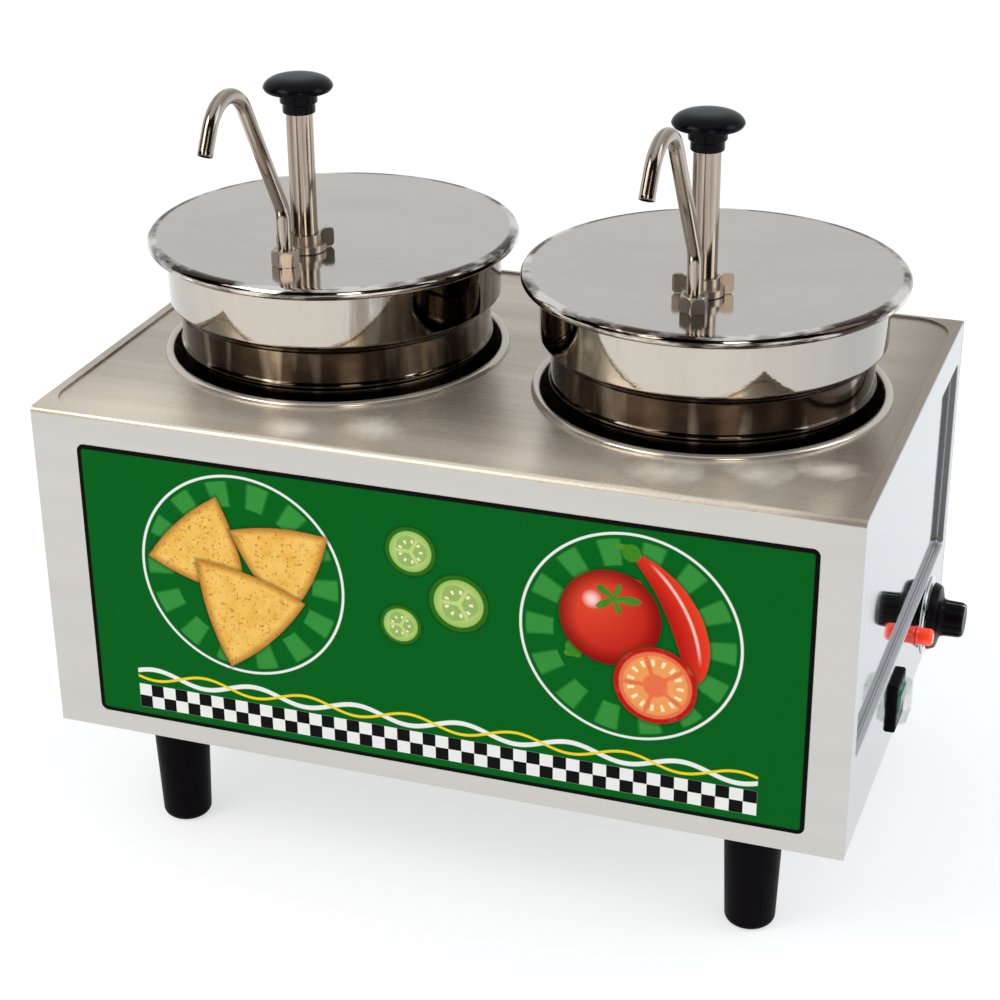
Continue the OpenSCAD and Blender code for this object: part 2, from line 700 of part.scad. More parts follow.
// Leads between the block, the switch, the thermostat and the elements
module wiring() {
    lead_r = 1.4;
    on_tab = 0.45 + lead_r;
    low = block_at[2] + 7.05 + lead_r;
    pole = [for (i = [0:3]) block_at[0] + (i - 1.5) * block_pitch];
    switch_end = switch_at - [sheet_t + switch_depth + 5, 0, 0];
    dial_end = dial_at - [sheet_t + thermostat_l + 5, 12, 0];
    side_y = switch_end[1] - 40;
    end_x = element_r * cos(element_gap / 2);
    end_y = element_r * sin(element_gap / 2);
    end_z = element_z - element_end_l - 10.05;
    color("firebrick") {
        bent_wire([switch_end + [0, 0, 7 + on_tab], switch_end + [-16, 0, 7 + on_tab],
            [switch_end[0] - 16, side_y, switch_end[2] + 7 + on_tab], [switch_end[0] - 16, side_y, low],
            [pole[2], side_y, low], [pole[2], block_at[1] - 8, low]], lead_r);
        bent_wire([dial_end + [0, 0, on_tab], dial_end + [-12, 0, on_tab],
            [dial_end[0] - 12, switch_end[1], switch_end[2] + on_tab], switch_end + [0, 0, on_tab]], lead_r);
        bent_wire([[well_x[0] + end_x, -end_y, end_z], [well_x[0] + end_x, -end_y, low],
            [well_x[0] + end_x, side_y, low], [pole[0], side_y, low], [pole[0], block_at[1] - 8, low]], lead_r);
        bent_wire([[well_x[1] + end_x, end_y, end_z], [well_x[1] + end_x, end_y, low],
            [well_x[1] + end_x, block_at[1] + 40, low], [pole[3], block_at[1] + 40, low],
            [pole[3], block_at[1] + 8, low]], lead_r);
    }
}

// Cord gland in the back: hexagon flange and dome nut outside, lock nut inside
gland_thread_r = 8;

module cord_gland() {
    flange_h = 5;
    dome_h = gland_out - flange_h;
    inside_l = 12;
    color([0.12, 0.12, 0.12]) translate(gland_at) rotate([-90, 0, 0]) difference() {
        union() {
            cylinder(flange_h, r = 13, $fn = 6);
            translate([0, 0, flange_h]) cylinder(dome_h - 5, r = 11);
            translate([0, 0, gland_out - 5]) cylinder(5, r1 = 11, r2 = 8);
            translate([0, 0, -inside_l]) cylinder(inside_l + 1, r = gland_thread_r);
            translate([0, 0, -sheet_t - 4]) cylinder(4, r = 12, $fn = 6);
        }
        translate([0, 0, -inside_l - cut]) cylinder(inside_l + gland_out + 2 * cut, r = gland_bore_r);
    }
}

// Inset pot: body, shoulder, polished band and a bead rolled on the rim
module pot(side) {
    rim_z = lid_under_z - body_gap;
    corner = [pot_body_r - pot_corner_r, pot_floor_z + pot_corner_r];
    turn_r = min(pot_band_r - pot_body_r, pot_shoulder_h) / 2;
    body_top = band_low_z - pot_shoulder_h;
    rib_z = top_z + pot_rib_up;
    step = [for (i = [0:8]) [pot_body_r + (pot_band_r - pot_body_r) * (1 - cos(i * 22.5)) / 2,
        body_top + pot_shoulder_h * i / 8]];
    rib = [for (i = [0:6]) [pot_body_r + pot_rib_out * sin(i * 30), rib_z + (i - 3) * 0.9]];
    outer = concat([[0, pot_floor_z]], arc(corner, pot_corner_r, -90, 0), rib, step);
    inner = concat([[pot_band_r - pot_t, rim_z - pot_bead_r]], [for (i = [8:-1:0]) step[i] - [pot_t, -0.4]],
        arc(corner, pot_corner_r - pot_t, 0, -90), [[0, pot_floor_z + pot_t]]);
    color("silver") translate([well_x[side], 0, 0]) rotate_extrude() {
        polygon(concat(outer, [[pot_band_r, rim_z - pot_bead_r]], inner));
        translate([pot_band_r - pot_t + pot_bead_r, rim_z - pot_bead_r]) circle(pot_bead_r, $fn = 32);
    }
}

// Flat lid with a rolled edge, drilled for the pump and its riser
module lid(side) {
    curl = [lid_r - lid_curl_r, lid_z - lid_curl_r];
    color("darkgray") difference() {
        translate([well_x[side], 0, 0]) rotate_extrude() {
            translate([0, lid_under_z]) square([curl[0], lid_t]);
            difference() {
                translate(curl) circle(lid_curl_r, $fn = 48);
                translate(curl) circle(lid_curl_r - lid_t, $fn = 48);
                translate([curl[0] - 2 * lid_curl_r, curl[1] - lid_curl_r]) square([2 * lid_curl_r, 2 * lid_curl_r - lid_t]);
            }
        }
        at_pump(side) translate([0, 0, lid_under_z - cut]) cylinder(lid_t + 2 * cut, r = collar_neck_r + 0.2);
        at_pump(side) translate([0, -riser_pitch, lid_under_z - cut]) cylinder(lid_t + 2 * cut, r = spout_r + 0.2);
    }
}

// Pump cylinder under the lid, with a neck that stands through it
collar_neck_r = 12;
neck_top_z = lid_z + 3;

module pump_cylinder(side) {
    color("lightgray") at_pump(side) difference() {
        union() {
            translate([0, 0, valve_top_z - 4]) cylinder(lid_under_z - valve_top_z + 4, r = bore_r + bore_t);
            translate([0, 0, lid_under_z - pump_flange_t]) cylinder(pump_flange_t, r = bore_r + bore_t + 4);
            translate([0, 0, lid_under_z - 1]) cylinder(neck_top_z - lid_under_z + 1, r = collar_neck_r);
        }
        translate([0, 0, valve_top_z - 5]) cylinder(lid_under_z - pump_flange_t - valve_top_z + 5, r = bore_r);
        translate([0, 0, lid_under_z - 10]) cylinder(20, r = plunger_r + 0.08);
    }
}

// Valve body at the pump's foot, with its inlet, its chamber and a passage to the riser
inlet_r = 4.5;
valve_seat_up = 9;
ball_r = 5.5;

module pump_valve(side) {
    body_r = bore_r + bore_t + 2.5;
    boss_r = spout_r + 2.5;
    web_w = 2 * boss_r - 3;
    passage_up = 17;
    color("white") at_pump(side) translate([0, 0, pump_foot_z]) difference() {
        union() {
            cylinder(valve_h, r = body_r);
            translate([0, -riser_pitch, 8]) cylinder(valve_h - 8, r = boss_r);
            translate([-web_w / 2, -riser_pitch, 8]) cube([web_w, riser_pitch, valve_h - 14]);
        }
        translate([0, 0, -cut]) cylinder(valve_seat_up + 2 * cut, r = inlet_r);
        for (a = [0, 90]) rotate([0, 0, a]) cube([60, 5, 8], center = true);
        translate([0, 0, valve_seat_up]) cylinder(valve_h, r = ball_r + 1.5);
        translate([0, 0, valve_h - 4]) cylinder(5, r = bore_r + bore_t + 0.05);
        translate([0, 0, passage_up]) rotate([90, 0, 0]) cylinder(riser_pitch, r = 3);
        translate([0, -riser_pitch, passage_up - 4.5]) cylinder(valve_h, r = spout_r - spout_t);
        translate([0, -riser_pitch, riser_z - pump_foot_z]) cylinder(valve_h, r = spout_r + 0.05);
    }
}

// Ball that closes the inlet, a gap above its seat's edge
module valve_ball(side) {
    ball_up = valve_seat_up + sqrt(pow(ball_r + body_gap, 2) - pow(inlet_r, 2));
    color("silver") at_pump(side) translate([0, 0, pump_foot_z + ball_up]) sphere(ball_r, $fn = 48);
}

// Locking collar with two wings, turned to free the pump from the lid
wing_turn = [wing_turn_left, wing_turn_right];

module pump_collar(side) {
    hub_r = plunger_r + body_gap + 1.6;
    skirt_h = neck_top_z - lid_z + body_gap;
    skirt_r_out = collar_neck_r + body_gap + 1.6;
    color("lightgray") at_pump(side) translate([0, 0, lid_z + body_gap]) difference() {
        union() {
            cylinder(skirt_h + 1.2, r = skirt_r_out);
            cylinder(collar_h, r = hub_r);
            for (a = [0, 180]) rotate([90, 0, a + wing_turn[side]]) linear_extrude(wing_t, center = true)
                polygon(concat([[hub_r - 1, 0], [wing_r - 1.5, 0]], [[wing_r, 2], [wing_r, wing_h - 3]],
                    arc([wing_r - 2, wing_h - 2], 2, 0, 90, 6), [[hub_r + 2.4, wing_h]],
                    [[hub_r - 1, collar_h - 1]]));
        }
        translate([0, 0, -cut]) cylinder(skirt_h + cut, r = collar_neck_r + body_gap);
        translate([0, 0, -cut]) cylinder(collar_h + 2 * cut, r = plunger_r + body_gap);
    }
}

// Length of pipe bent round mid, from one angle off the vertical to the next
module pipe_bend(mid, bend_r, from_angle, turn, r) {
    translate([mid[0], 0, mid[1]]) rotate([90, 0, 0]) rotate([0, 0, 180 - from_angle - turn])
        rotate_extrude(angle = turn) translate([bend_r, 0]) circle(r);
}

// Run of the discharge tube at radius r: straights that reach into bends a hair wider
module pipe_run(r, past = 0) {
    $fn = 48;
    lap = 0.5;
    bend_more = 0.02;
    low = riser_z - past;
    rotate([0, 0, -90]) translate([0, 0, low]) cylinder(lid_z + lean_up + lap - low, r = r);
    translate([0, 0, lid_z]) rotate([0, 0, -90]) {
        pipe_bend([lean_bend_r, lean_up], lean_bend_r, 0, lean_angle, r + bend_more);
        translate([lean_end[0], 0, lean_end[1]]) rotate([0, lean_angle, 0]) translate([0, 0, -lap])
            cylinder(lean_l + 2 * lap, r = r);
        pipe_bend(neck_mid, neck_bend_r, lean_angle, neck_turn, r + bend_more);
        translate([neck_end[0], 0, neck_end[1]]) rotate([0, exit_angle, 0]) translate([0, 0, -lap])
            cylinder(outlet_l + lap + past, r = r);
    }
}

// Discharge tube: riser, lower bend, leaning stretch, gooseneck and outlet
module discharge_tube(side) {
    color("lightgray") at_pump(side) translate([0, -riser_pitch, 0]) difference() {
        pipe_run(spout_r);
        pipe_run(spout_r - spout_t, cut);
    }
}

// Hexagon nut that holds the riser to the lid
module discharge_nut(side) {
    color("lightgray") at_pump(side) translate([0, -riser_pitch, lid_z]) difference() {
        intersection() {
            cylinder(nut_h, r = nut_r, $fn = 6);
            union() {
                cylinder(nut_h - 1.4, r = nut_r);
                translate([0, 0, nut_h - 1.4]) cylinder(1.4, r1 = nut_r, r2 = nut_r - 1.6);
            }
        }
        translate([0, 0, -cut]) cylinder(nut_h + 2 * cut, r = spout_r + 0.05);
    }
}

// Knob: a domed cap over a stepped neck
module plunger_knob(side) {
    cap_h = knob_h * 0.6;
    edge_z = knob_h - cap_h * 0.5;
    socket_l = 14;
    under = [[knob_neck_r, 0.8], [knob_neck_r, knob_h * 0.34], [knob_neck_r + 2.6, knob_h * 0.42]];
    dome = [for (a = [0:10:90]) [knob_r - 2.4 + 2.4 * cos(a), edge_z + 2 + 2.4 * sin(a)]];
    crown = [for (i = [1:6]) [(knob_r - 2.4) * cos(i * 15), edge_z + 4.4 + (knob_h - edge_z - 4.4) * sin(i * 15)]];
    color([0.05, 0.06, 0.07]) at_pump(side) translate([0, 0, knob_z]) difference() {
        rotate_extrude() polygon(concat([[0, 0], [knob_neck_r - 0.8, 0]], under, [[knob_r - 1, edge_z - 0.5]], dome, crown));
        translate([0, 0, -cut]) cylinder(socket_l + cut, r = plunger_r + 0.02);
    }
}

// Plunger tube from the knob's socket to the piston
module plunger_tube(side) {
    tube_t = 1.2;
    color("lightgray") at_pump(side) translate([0, 0, piston_z + piston_h - 4]) difference() {
        cylinder(knob_z + 13.8 - piston_z - piston_h + 4, r = plunger_r);
        translate([0, 0, -cut]) cylinder(knob_z + 13 - piston_z - piston_h + 4, r = plunger_r - tube_t);
    }
}

// Piston on the end of the plunger tube, with a groove for its seal
seal_h = 4;
seal_groove_r = bore_r - 2.6;

module piston(side) {
    piston_r = bore_r - piston_gap;
    color("white") at_pump(side) translate([0, 0, piston_z]) difference() {
        cylinder(piston_h, r = piston_r);
        translate([0, 0, piston_h / 2 - seal_h / 2]) difference() {
            cylinder(seal_h, r = piston_r + cut);
            translate([0, 0, -cut]) cylinder(seal_h + 2 * cut, r = seal_groove_r);
        }
        translate([0, 0, piston_h - 4]) cylinder(5, r = plunger_r + 0.02);
    }
}

module piston_seal(side) {
    color("dimgray") at_pump(side) translate([0, 0, piston_z + piston_h / 2 - seal_h / 2 + 0.1]) difference() {
        cylinder(seal_h - 0.2, r = bore_r - seal_gap);
        translate([0, 0, -cut]) cylinder(seal_h + 2 * cut, r = seal_groove_r + 0.1);
    }
}

// Return spring between the valve body and the piston: one round wire wound in a helix
spring_r = bore_r - 2.2;
spring_rings = 8;
spring_sides = 6;

function spring_point(i, k) = let (
        turn = 360 * i / spring_rings,
        rise = (spring_l - 2 * body_gap - 2 * spring_wire_r) / (spring_turns * spring_rings),
        a = 360 * k / spring_sides,
        r = spring_r + spring_wire_r * cos(a))
    [r * cos(turn), r * sin(turn), spring_wire_r + body_gap + i * rise + spring_wire_r * sin(a)];

module return_spring(side) {
    n = spring_turns * spring_rings;
    m = spring_sides;
    points = [for (i = [0:n], k = [0:m - 1]) spring_point(i, k)];
    walls = [for (i = [0:n - 1], k = [0:m - 1], t = [0, 1])
        let (a = i * m + k, b = i * m + (k + 1) % m) t == 0 ? [a, a + m, b + m] : [a, b + m, b]];
    ends = [for (k = [1:m - 2]) [0, k, k + 1], for (k = [1:m - 2]) [n * m, n * m + k + 1, n * m + k]];
    color("silver") at_pump(side) translate([0, 0, valve_top_z]) polyhedron(points, concat(walls, ends));
}

// Least gap between neighbouring turns of the spring
echo(spring_gap = (spring_l - 2 * body_gap - 2 * spring_wire_r) / spring_turns - 2 * spring_wire_r);

module place() {
    translate(shift) children();
}

place() casing();
place() side_panel_left();
place() side_panel_right();
place() bottom_plate();
place() casing_screws();
place() front_sign();
place() well(0);  // well_left
place() well(1);  // well_right
place() insulation(0);  // insulation_left
place() insulation(1);  // insulation_right
place() element(0);  // element_left
place() element(1);  // element_right
place() clamp(0);  // clamp_left
place() clamp(1);  // clamp_right
place() leg(0);  // leg_front_left
place() leg(1);  // leg_back_left
place() leg(2);  // leg_front_right
place() leg(3);  // leg_back_right
place() leg_studs();
place() thermostat();
place() capillary();
place() dial_plate();
place() dial_knob();
place() dial_shaft();
place() switch_body();
place() switch_bezel();
place() switch_rocker();
place() switch_cover();
place() pilot_lamp_lens();
place() pilot_lamp_body();
place() terminal_block();
place() wiring();
place() cord_gland();
place() pot(0);  // pot_left
place() pot(1);  // pot_right
place() lid(0);  // lid_left
place() lid(1);  // lid_right
place() pump_cylinder(0);  // pump_cylinder_left
place() pump_cylinder(1);  // pump_cylinder_right
place() pump_valve(0);  // pump_valve_left
place() pump_valve(1);  // pump_valve_right
place() valve_ball(0);  // valve_ball_left
place() valve_ball(1);  // valve_ball_right
place() pump_collar(0);  // pump_collar_left
place() pump_collar(1);  // pump_collar_right
place() discharge_tube(0);  // discharge_tube_left
place() discharge_tube(1);  // discharge_tube_right
place() discharge_nut(0);  // discharge_nut_left
place() discharge_nut(1);  // discharge_nut_right
place() plunger_knob(0);  // plunger_knob_left
place() plunger_knob(1);  // plunger_knob_right
place() plunger_tube(0);  // plunger_tube_left
place() plunger_tube(1);  // plunger_tube_right
place() piston(0);  // piston_left
place() piston(1);  // piston_right
place() piston_seal(0);  // piston_seal_left
place() piston_seal(1);  // piston_seal_right
place() return_spring(0);  // return_spring_left
place() return_spring(1);  // return_spring_right
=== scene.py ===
import math

import bpy
import numpy as np
from mathutils import Matrix, Vector


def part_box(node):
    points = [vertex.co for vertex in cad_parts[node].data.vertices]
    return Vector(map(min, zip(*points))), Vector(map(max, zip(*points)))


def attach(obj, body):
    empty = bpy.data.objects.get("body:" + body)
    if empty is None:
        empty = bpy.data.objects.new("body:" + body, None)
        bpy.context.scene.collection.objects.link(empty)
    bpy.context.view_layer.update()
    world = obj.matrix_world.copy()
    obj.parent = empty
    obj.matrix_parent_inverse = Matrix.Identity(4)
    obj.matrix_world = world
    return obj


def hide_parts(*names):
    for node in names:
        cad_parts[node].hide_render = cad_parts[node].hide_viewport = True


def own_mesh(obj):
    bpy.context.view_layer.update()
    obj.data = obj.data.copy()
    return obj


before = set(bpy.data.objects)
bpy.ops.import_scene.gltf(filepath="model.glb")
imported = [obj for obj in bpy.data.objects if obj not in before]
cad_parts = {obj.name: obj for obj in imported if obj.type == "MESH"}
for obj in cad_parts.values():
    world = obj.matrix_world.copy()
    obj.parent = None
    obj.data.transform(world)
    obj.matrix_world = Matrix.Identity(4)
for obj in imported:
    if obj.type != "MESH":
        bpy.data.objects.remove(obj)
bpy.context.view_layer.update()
mm = 0.001
sides = ("left", "right")


def boxOf(node):  # lowest and highest corner of a CAD node as arrays
    low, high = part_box(node)
    return np.array(low), np.array(high)


casingLow, casingHigh = boxOf("casing")
casingMid = (casingLow + casingHigh) / 2


# camera
view = {"turn": 19.579, "rise": 26.764, "roll": -0.524, "place": (0.4675, -1.3940, 0.9146),
        "focal": 2317.6, "middle": (500, 560)}


def makeCamera(v):
    a, e, r = (math.radians(v[k]) for k in ("turn", "rise", "roll"))
    back = Vector((math.sin(a) * math.cos(e), -math.cos(a) * math.cos(e), math.sin(e)))
    right = Vector((math.cos(a), math.sin(a), 0))
    up = back.cross(right)
    right, up = math.cos(r) * right + math.sin(r) * up, math.cos(r) * up - math.sin(r) * right
    data = bpy.data.cameras.new("photoCamera")
    data.sensor_width = 36
    data.lens = v["focal"] * 36 / 1000
    data.shift_x = (500 - v["middle"][0]) / 1000
    data.shift_y = (v["middle"][1] - 500) / 1000
    data.clip_start, data.clip_end = 0.05, 60
    camera = bpy.data.objects.new("photoCamera", data)
    camera.matrix_world = Matrix.Translation(v["place"]) @ Matrix((right, up, back)).transposed().to_4x4()
    bpy.context.collection.objects.link(camera)
    bpy.context.scene.camera = camera
    return camera


makeCamera(view)
print("camera placed")


# shader writing
class Wire:  # one output socket; sums, products and comparisons of wires add their Math nodes
    def __init__(self, finish, socket):
        self.finish, self.socket = finish, socket

    def math(self, operation, *others, clamp=False):
        values = {i: v for i, v in enumerate((self,) + others)}
        return self.finish.node("ShaderNodeMath", {"operation": operation, "use_clamp": clamp}, values)

    def __add__(self, other):
        return self.math("ADD", other)

    def __radd__(self, other):
        return self.math("ADD", other)

    def __sub__(self, other):
        return self.math("SUBTRACT", other)

    def __rsub__(self, other):
        return self.math("MULTIPLY_ADD", -1.0, other)

    def __mul__(self, other):
        return self.math("MULTIPLY", other)

    def __rmul__(self, other):
        return self.math("MULTIPLY", other)

    def __truediv__(self, other):
        return self.math("DIVIDE", other)

    def __pow__(self, other):
        return self.math("POWER", other)

    def __neg__(self):
        return self.math("MULTIPLY", -1.0)

    def __lt__(self, other):
        return self.math("LESS_THAN", other)

    def __gt__(self, other):
        return self.math("GREATER_THAN", other)

    def abs(self):
        return self.math("ABSOLUTE")

    def sin(self):
        return self.math("SINE")

    def cos(self):
        return self.math("COSINE")

    def root(self):
        return self.math("SQRT")

    def least(self, other):
        return self.math("MINIMUM", other)

    def most(self, other):
        return self.math("MAXIMUM", other)

    def clip(self):
        return self.math("ADD", 0.0, clamp=True)


class Finish:  # the node tree of one material
    def __init__(self, name, metallic=0.0, roughness=0.5, color=(0.8, 0.8, 0.8), **constants):
        self.material = bpy.data.materials.new(name)
        self.material.use_nodes = True
        self.tree = self.material.node_tree
        self.tree.nodes.clear()
        self.output = self.tree.nodes.new("ShaderNodeOutputMaterial")
        self.shader = self.tree.nodes.new("ShaderNodeBsdfPrincipled")
        self.tree.links.new(self.shader.outputs[0], self.output.inputs[0])
        self.shader.inputs["Metallic"].default_value = metallic
        self.shader.inputs["Roughness"].default_value = roughness
        self.shader.inputs["Base Color"].default_value = (*color, 1)
        for socket, value in constants.items():
            self.shader.inputs[socket.replace("_", " ")].default_value = value

    def node(self, kind, settings=None, inputs=None, out=0):
        made = self.tree.nodes.new(kind)
        for key, value in (settings or {}).items():
            if key == "stops":
                ramp = made.color_ramp
                while len(ramp.elements) < len(value):
                    ramp.elements.new(0.5)
                for element, (place, colour) in zip(ramp.elements, value):
                    element.position, element.color = place, (*colour, 1)
            else:
                setattr(made, key, value)
        for key, value in (inputs or {}).items():
            if isinstance(value, Wire):
                self.tree.links.new(value.socket, made.inputs[key])
            elif value is not None:
                made.inputs[key].default_value = value
        return Wire(self, made.outputs[out])

    def place(self):  # object coordinates as a vector and as x, y, z wires
        spot = self.node("ShaderNodeTexCoord", out=3)
        split = self.tree.nodes.new("ShaderNodeSeparateXYZ")
        self.tree.links.new(spot.socket, split.inputs[0])
        return spot, *(Wire(self, split.outputs[i]) for i in range(3))

    def noise(self, spot, scale, detail=3.0, rough=0.55, stretch=(1, 1, 1), warp=0.0):
        mapped = self.node("ShaderNodeMapping", None, {"Vector": spot, "Scale": stretch})
        return self.node("ShaderNodeTexNoise", None, {"Vector": mapped, "Scale": scale, "Detail": detail,
                                                      "Roughness": rough, "Distortion": warp})

    def mix(self, factor, a, b):  # colours a and b by factor
        made = self.tree.nodes.new("ShaderNodeMix")
        made.data_type = "RGBA"
        for socket, value in ((made.inputs[0], factor), (made.inputs[6], a), (made.inputs[7], b)):
            if isinstance(value, Wire):
                self.tree.links.new(value.socket, socket)
            else:
                socket.default_value = value if isinstance(value, (int, float)) else (*value, 1)
        return Wire(self, made.outputs[2])

    def feed(self, **wires):  # links wires to the shader's sockets, such as Base_Color=...
        for socket, wire in wires.items():
            self.tree.links.new(wire.socket, self.shader.inputs[socket.replace("_", " ")])
        return self

    def bump(self, height, strength, distance):
        return self.feed(Normal=self.node("ShaderNodeBump", None, {"Height": height, "Strength": strength,
                                                                    "Distance": distance}))

    def paint(self, *objects):
        for thing in objects:
            thing.data.materials.clear()
            thing.data.materials.append(self.material)
        return self


def grainedSteel(name, colour, rough, grain, grainDepth=0.4, spread=0.05, smudge=0.05, tint=0.04):
    # rolled sheet: fine lines along one axis, with soft clouds in colour and gloss
    f = Finish(name, metallic=1.0, color=colour)
    spot = f.place()[0]
    lines = f.noise(spot, 1.0, 4.0, 0.65, grain)
    streaks = f.noise(spot, 1.0, 2.0, 0.5, tuple(g * 0.12 for g in grain))
    clouds = f.noise(spot, 7.0, 3.0, 0.5)
    dark = tuple(c * (1 - tint) for c in colour)
    light = tuple(min(1, c * (1 + tint)) for c in colour)
    f.feed(Base_Color=f.mix((lines * 0.5 + streaks * 0.5).clip(), dark, light))
    f.feed(Roughness=(clouds - 0.5) * smudge * 2 + (lines - 0.5) * spread * 2 + rough)
    f.bump(lines, grainDepth, 0.00006)
    return f


def polishedSteel(name, colour, rough, wave=0.15, smudge=0.05, scale=9.0, metal=1.0):
    # buffed sheet: a slow waviness in its reflections and faint wiping marks
    f = Finish(name, metallic=metal, color=colour)
    spot = f.place()[0]
    swell = f.noise(spot, scale, 2.0, 0.4)
    wipes = f.noise(spot, 60.0, 5.0, 0.6, (1, 1, 0.25), 0.6)
    dark = tuple(c * 0.95 for c in colour)
    f.feed(Base_Color=f.mix(wipes, dark, colour), Roughness=(wipes - 0.45).clip() * smudge * 2 + rough)
    f.bump(swell, wave, 0.0012)
    return f


def drawnTube(name, dark, light, rough, spread=0.05):
    # drawn and buffed tube: long stripes of painted reflection, dark and light, lie along it,
    # from a noise of (cos u, sin u) that hardly changes with length
    f = Finish(name, metallic=1.0)
    way = f.node("ShaderNodeAttribute", {"attribute_name": "way"}, out=1)
    reflectionStripes = f.noise(way, 2.3, 4.0, 0.62, (1, 1, 1.5))
    fine = f.noise(way, 9.0, 3.0, 0.6, (1, 1, 4))
    spot = f.place()[0]
    wipes = f.noise(spot, 130.0, 4.0, 0.6)
    # the base colour is painted reflection: stripes between a dark and a light tone
    tone = (reflectionStripes * 2.6 - 0.8 + (fine - 0.5) * 0.5).clip()
    f.feed(Base_Color=f.mix(tone, dark, light))
    f.feed(Roughness=(wipes - 0.5) * spread + (fine - 0.5) * 0.05 + rough)
    f.bump(fine * 0.6 + wipes * 0.4, 0.05, 0.00015)
    return f


def mouldedPlastic(name, colour, rough, pits=0.12, shine=0.5):
    # moulded plastic: fine pits, slight mottling and handling shine
    f = Finish(name, color=colour, Specular_IOR_Level=shine)
    spot = f.place()[0]
    grain = f.noise(spot, 900.0, 3.0, 0.6)
    worn = f.noise(spot, 25.0, 4.0, 0.55)
    light = tuple(c * 1.5 + 0.002 for c in colour)
    f.feed(Base_Color=f.mix(worn, colour, light), Roughness=(worn - 0.5) * 0.16 + rough)
    f.bump(grain, pits, 0.00008)
    return f


# surfaces
def meshOf(name, grid, closeU, capStart=False, capEnd=False, sharp=35):
    # a grid of points P[v, u] as quads; caps close its first and last rows
    # the attribute "way" keeps (cos u, sin u, length along v) of every point for the finishes
    rows, cols = grid.shape[:2]
    points = grid.reshape(-1, 3)
    spin = np.linspace(0, 2 * math.pi, cols, endpoint=False)
    gone = np.concatenate([[0], np.cumsum(np.linalg.norm(np.diff(grid, axis=0), axis=2).max(1))])
    way = np.stack(np.broadcast_arrays(np.cos(spin), np.sin(spin), gone[:, None]), -1).reshape(-1, 3)
    v, u = np.meshgrid(np.arange(rows - 1), np.arange(cols if closeU else cols - 1), indexing="ij")
    after = (u + 1) % cols
    corners = [v * cols + u, v * cols + after, (v + 1) * cols + after, (v + 1) * cols + u]
    quads = np.stack(corners, -1).reshape(-1, 4)
    tris = []
    ring = np.arange(cols)
    for wanted, row, flip in ((capStart, 0, True), (capEnd, rows - 1, False)):
        if wanted:
            middle = len(points)
            points = np.vstack([points, grid[row].mean(0)])
            way = np.vstack([way, [0, 0, gone[row]]])
            a, b = row * cols + ring, row * cols + (ring + 1) % cols
            ends = [b, a] if flip else [a, b]
            tris.append(np.stack([*ends, np.full(cols, middle)], -1))
    tri = np.vstack(tris) if tris else np.zeros((0, 3), int)
    # signed volume over the whole closed surface tells which way the faces point
    both = np.vstack([quads[:, [0, 1, 2]], quads[:, [0, 2, 3]], tri])
    p = points - points.mean(0)
    volume = np.einsum("ij,ij->i", p[both[:, 0]], np.cross(p[both[:, 1]], p[both[:, 2]])).sum()
    if volume < 0:
        quads, tri = quads[:, ::-1], tri[:, ::-1]
    mesh = bpy.data.meshes.new(name)
    loops = np.concatenate([quads.ravel(), tri.ravel()])
    starts = np.concatenate([np.arange(len(quads)) * 4, len(quads) * 4 + np.arange(len(tri)) * 3])
    mesh.vertices.add(len(points))
    mesh.vertices.foreach_set("co", points.astype(np.float32).ravel())
    mesh.loops.add(len(loops))
    mesh.loops.foreach_set("vertex_index", loops.astype(np.int32))
    mesh.polygons.add(len(starts))
    mesh.polygons.foreach_set("loop_start", starts.astype(np.int32))
    mesh.update(calc_edges=True)
    mesh.polygons.foreach_set("use_smooth", np.ones(len(starts), bool))
    kept = mesh.attributes.new("way", "FLOAT_VECTOR", "POINT")
    kept.data.foreach_set("vector", way.astype(np.float32).ravel())
    mesh.set_sharp_from_angle(angle=math.radians(sharp))
    mesh.validate()
    thing = bpy.data.objects.new(name, mesh)
    bpy.context.collection.objects.link(thing)
    return thing


def eased(points, radius, steps=6):
    # a polyline with each inner corner swept round: B(t) = (1-t)^2 a + 2t(1-t) c + t^2 b
    p = np.array(points, float)
    radii = np.broadcast_to(radius, (len(p),))
    before, corner, after = p[:-2], p[1:-1], p[2:]
    back = np.linalg.norm(before - corner, axis=1)[:, None]
    ahead = np.linalg.norm(after - corner, axis=1)[:, None]
    reach = np.minimum(radii[1:-1, None], np.minimum(back, ahead) * 0.48)
    a = corner + (before - corner) / back * reach
    b = corner + (after - corner) / ahead * reach
    t = np.linspace(0, 1, steps)[None, :, None]
    curve = (1 - t) ** 2 * a[:, None] + 2 * t * (1 - t) * corner[:, None] + t ** 2 * b[:, None]
    return np.vstack([p[:1], curve.reshape(-1, p.shape[1]), p[-1:]])


def turned(name, profile, centre, steps=160, **more):
    # a profile of radius and height swept round: P = (cx + r cos u, cy + r sin u, z)
    profile = np.array(profile, float)
    u = np.linspace(0, 2 * math.pi, steps, endpoint=False)
    r, z = profile[:, 0][:, None], profile[:, 1][:, None]
    grid = np.stack([centre[0] + r * np.cos(u), centre[1] + r * np.sin(u), z + 0 * u], -1)
    return meshOf(name, grid, True, True, True, **more)


def turnedSideways(name, profile, centre, radiusOf=None, steps=160, **more):
    # the same about an axis along +X: P = (cx + h, cy + r cos u, cz + r sin u), r scaled by radiusOf(u, h)
    profile = np.array(profile, float)
    u = np.linspace(0, 2 * math.pi, steps, endpoint=False)
    r, h = profile[:, 0][:, None] + 0 * u, profile[:, 1][:, None] + 0 * u
    if radiusOf:
        r = r - radiusOf(u, profile[:, 1][:, None])
    grid = np.stack([centre[0] + h, centre[1] + r * np.cos(u), centre[2] + r * np.sin(u)], -1)
    return meshOf(name, grid, True, True, True, **more)


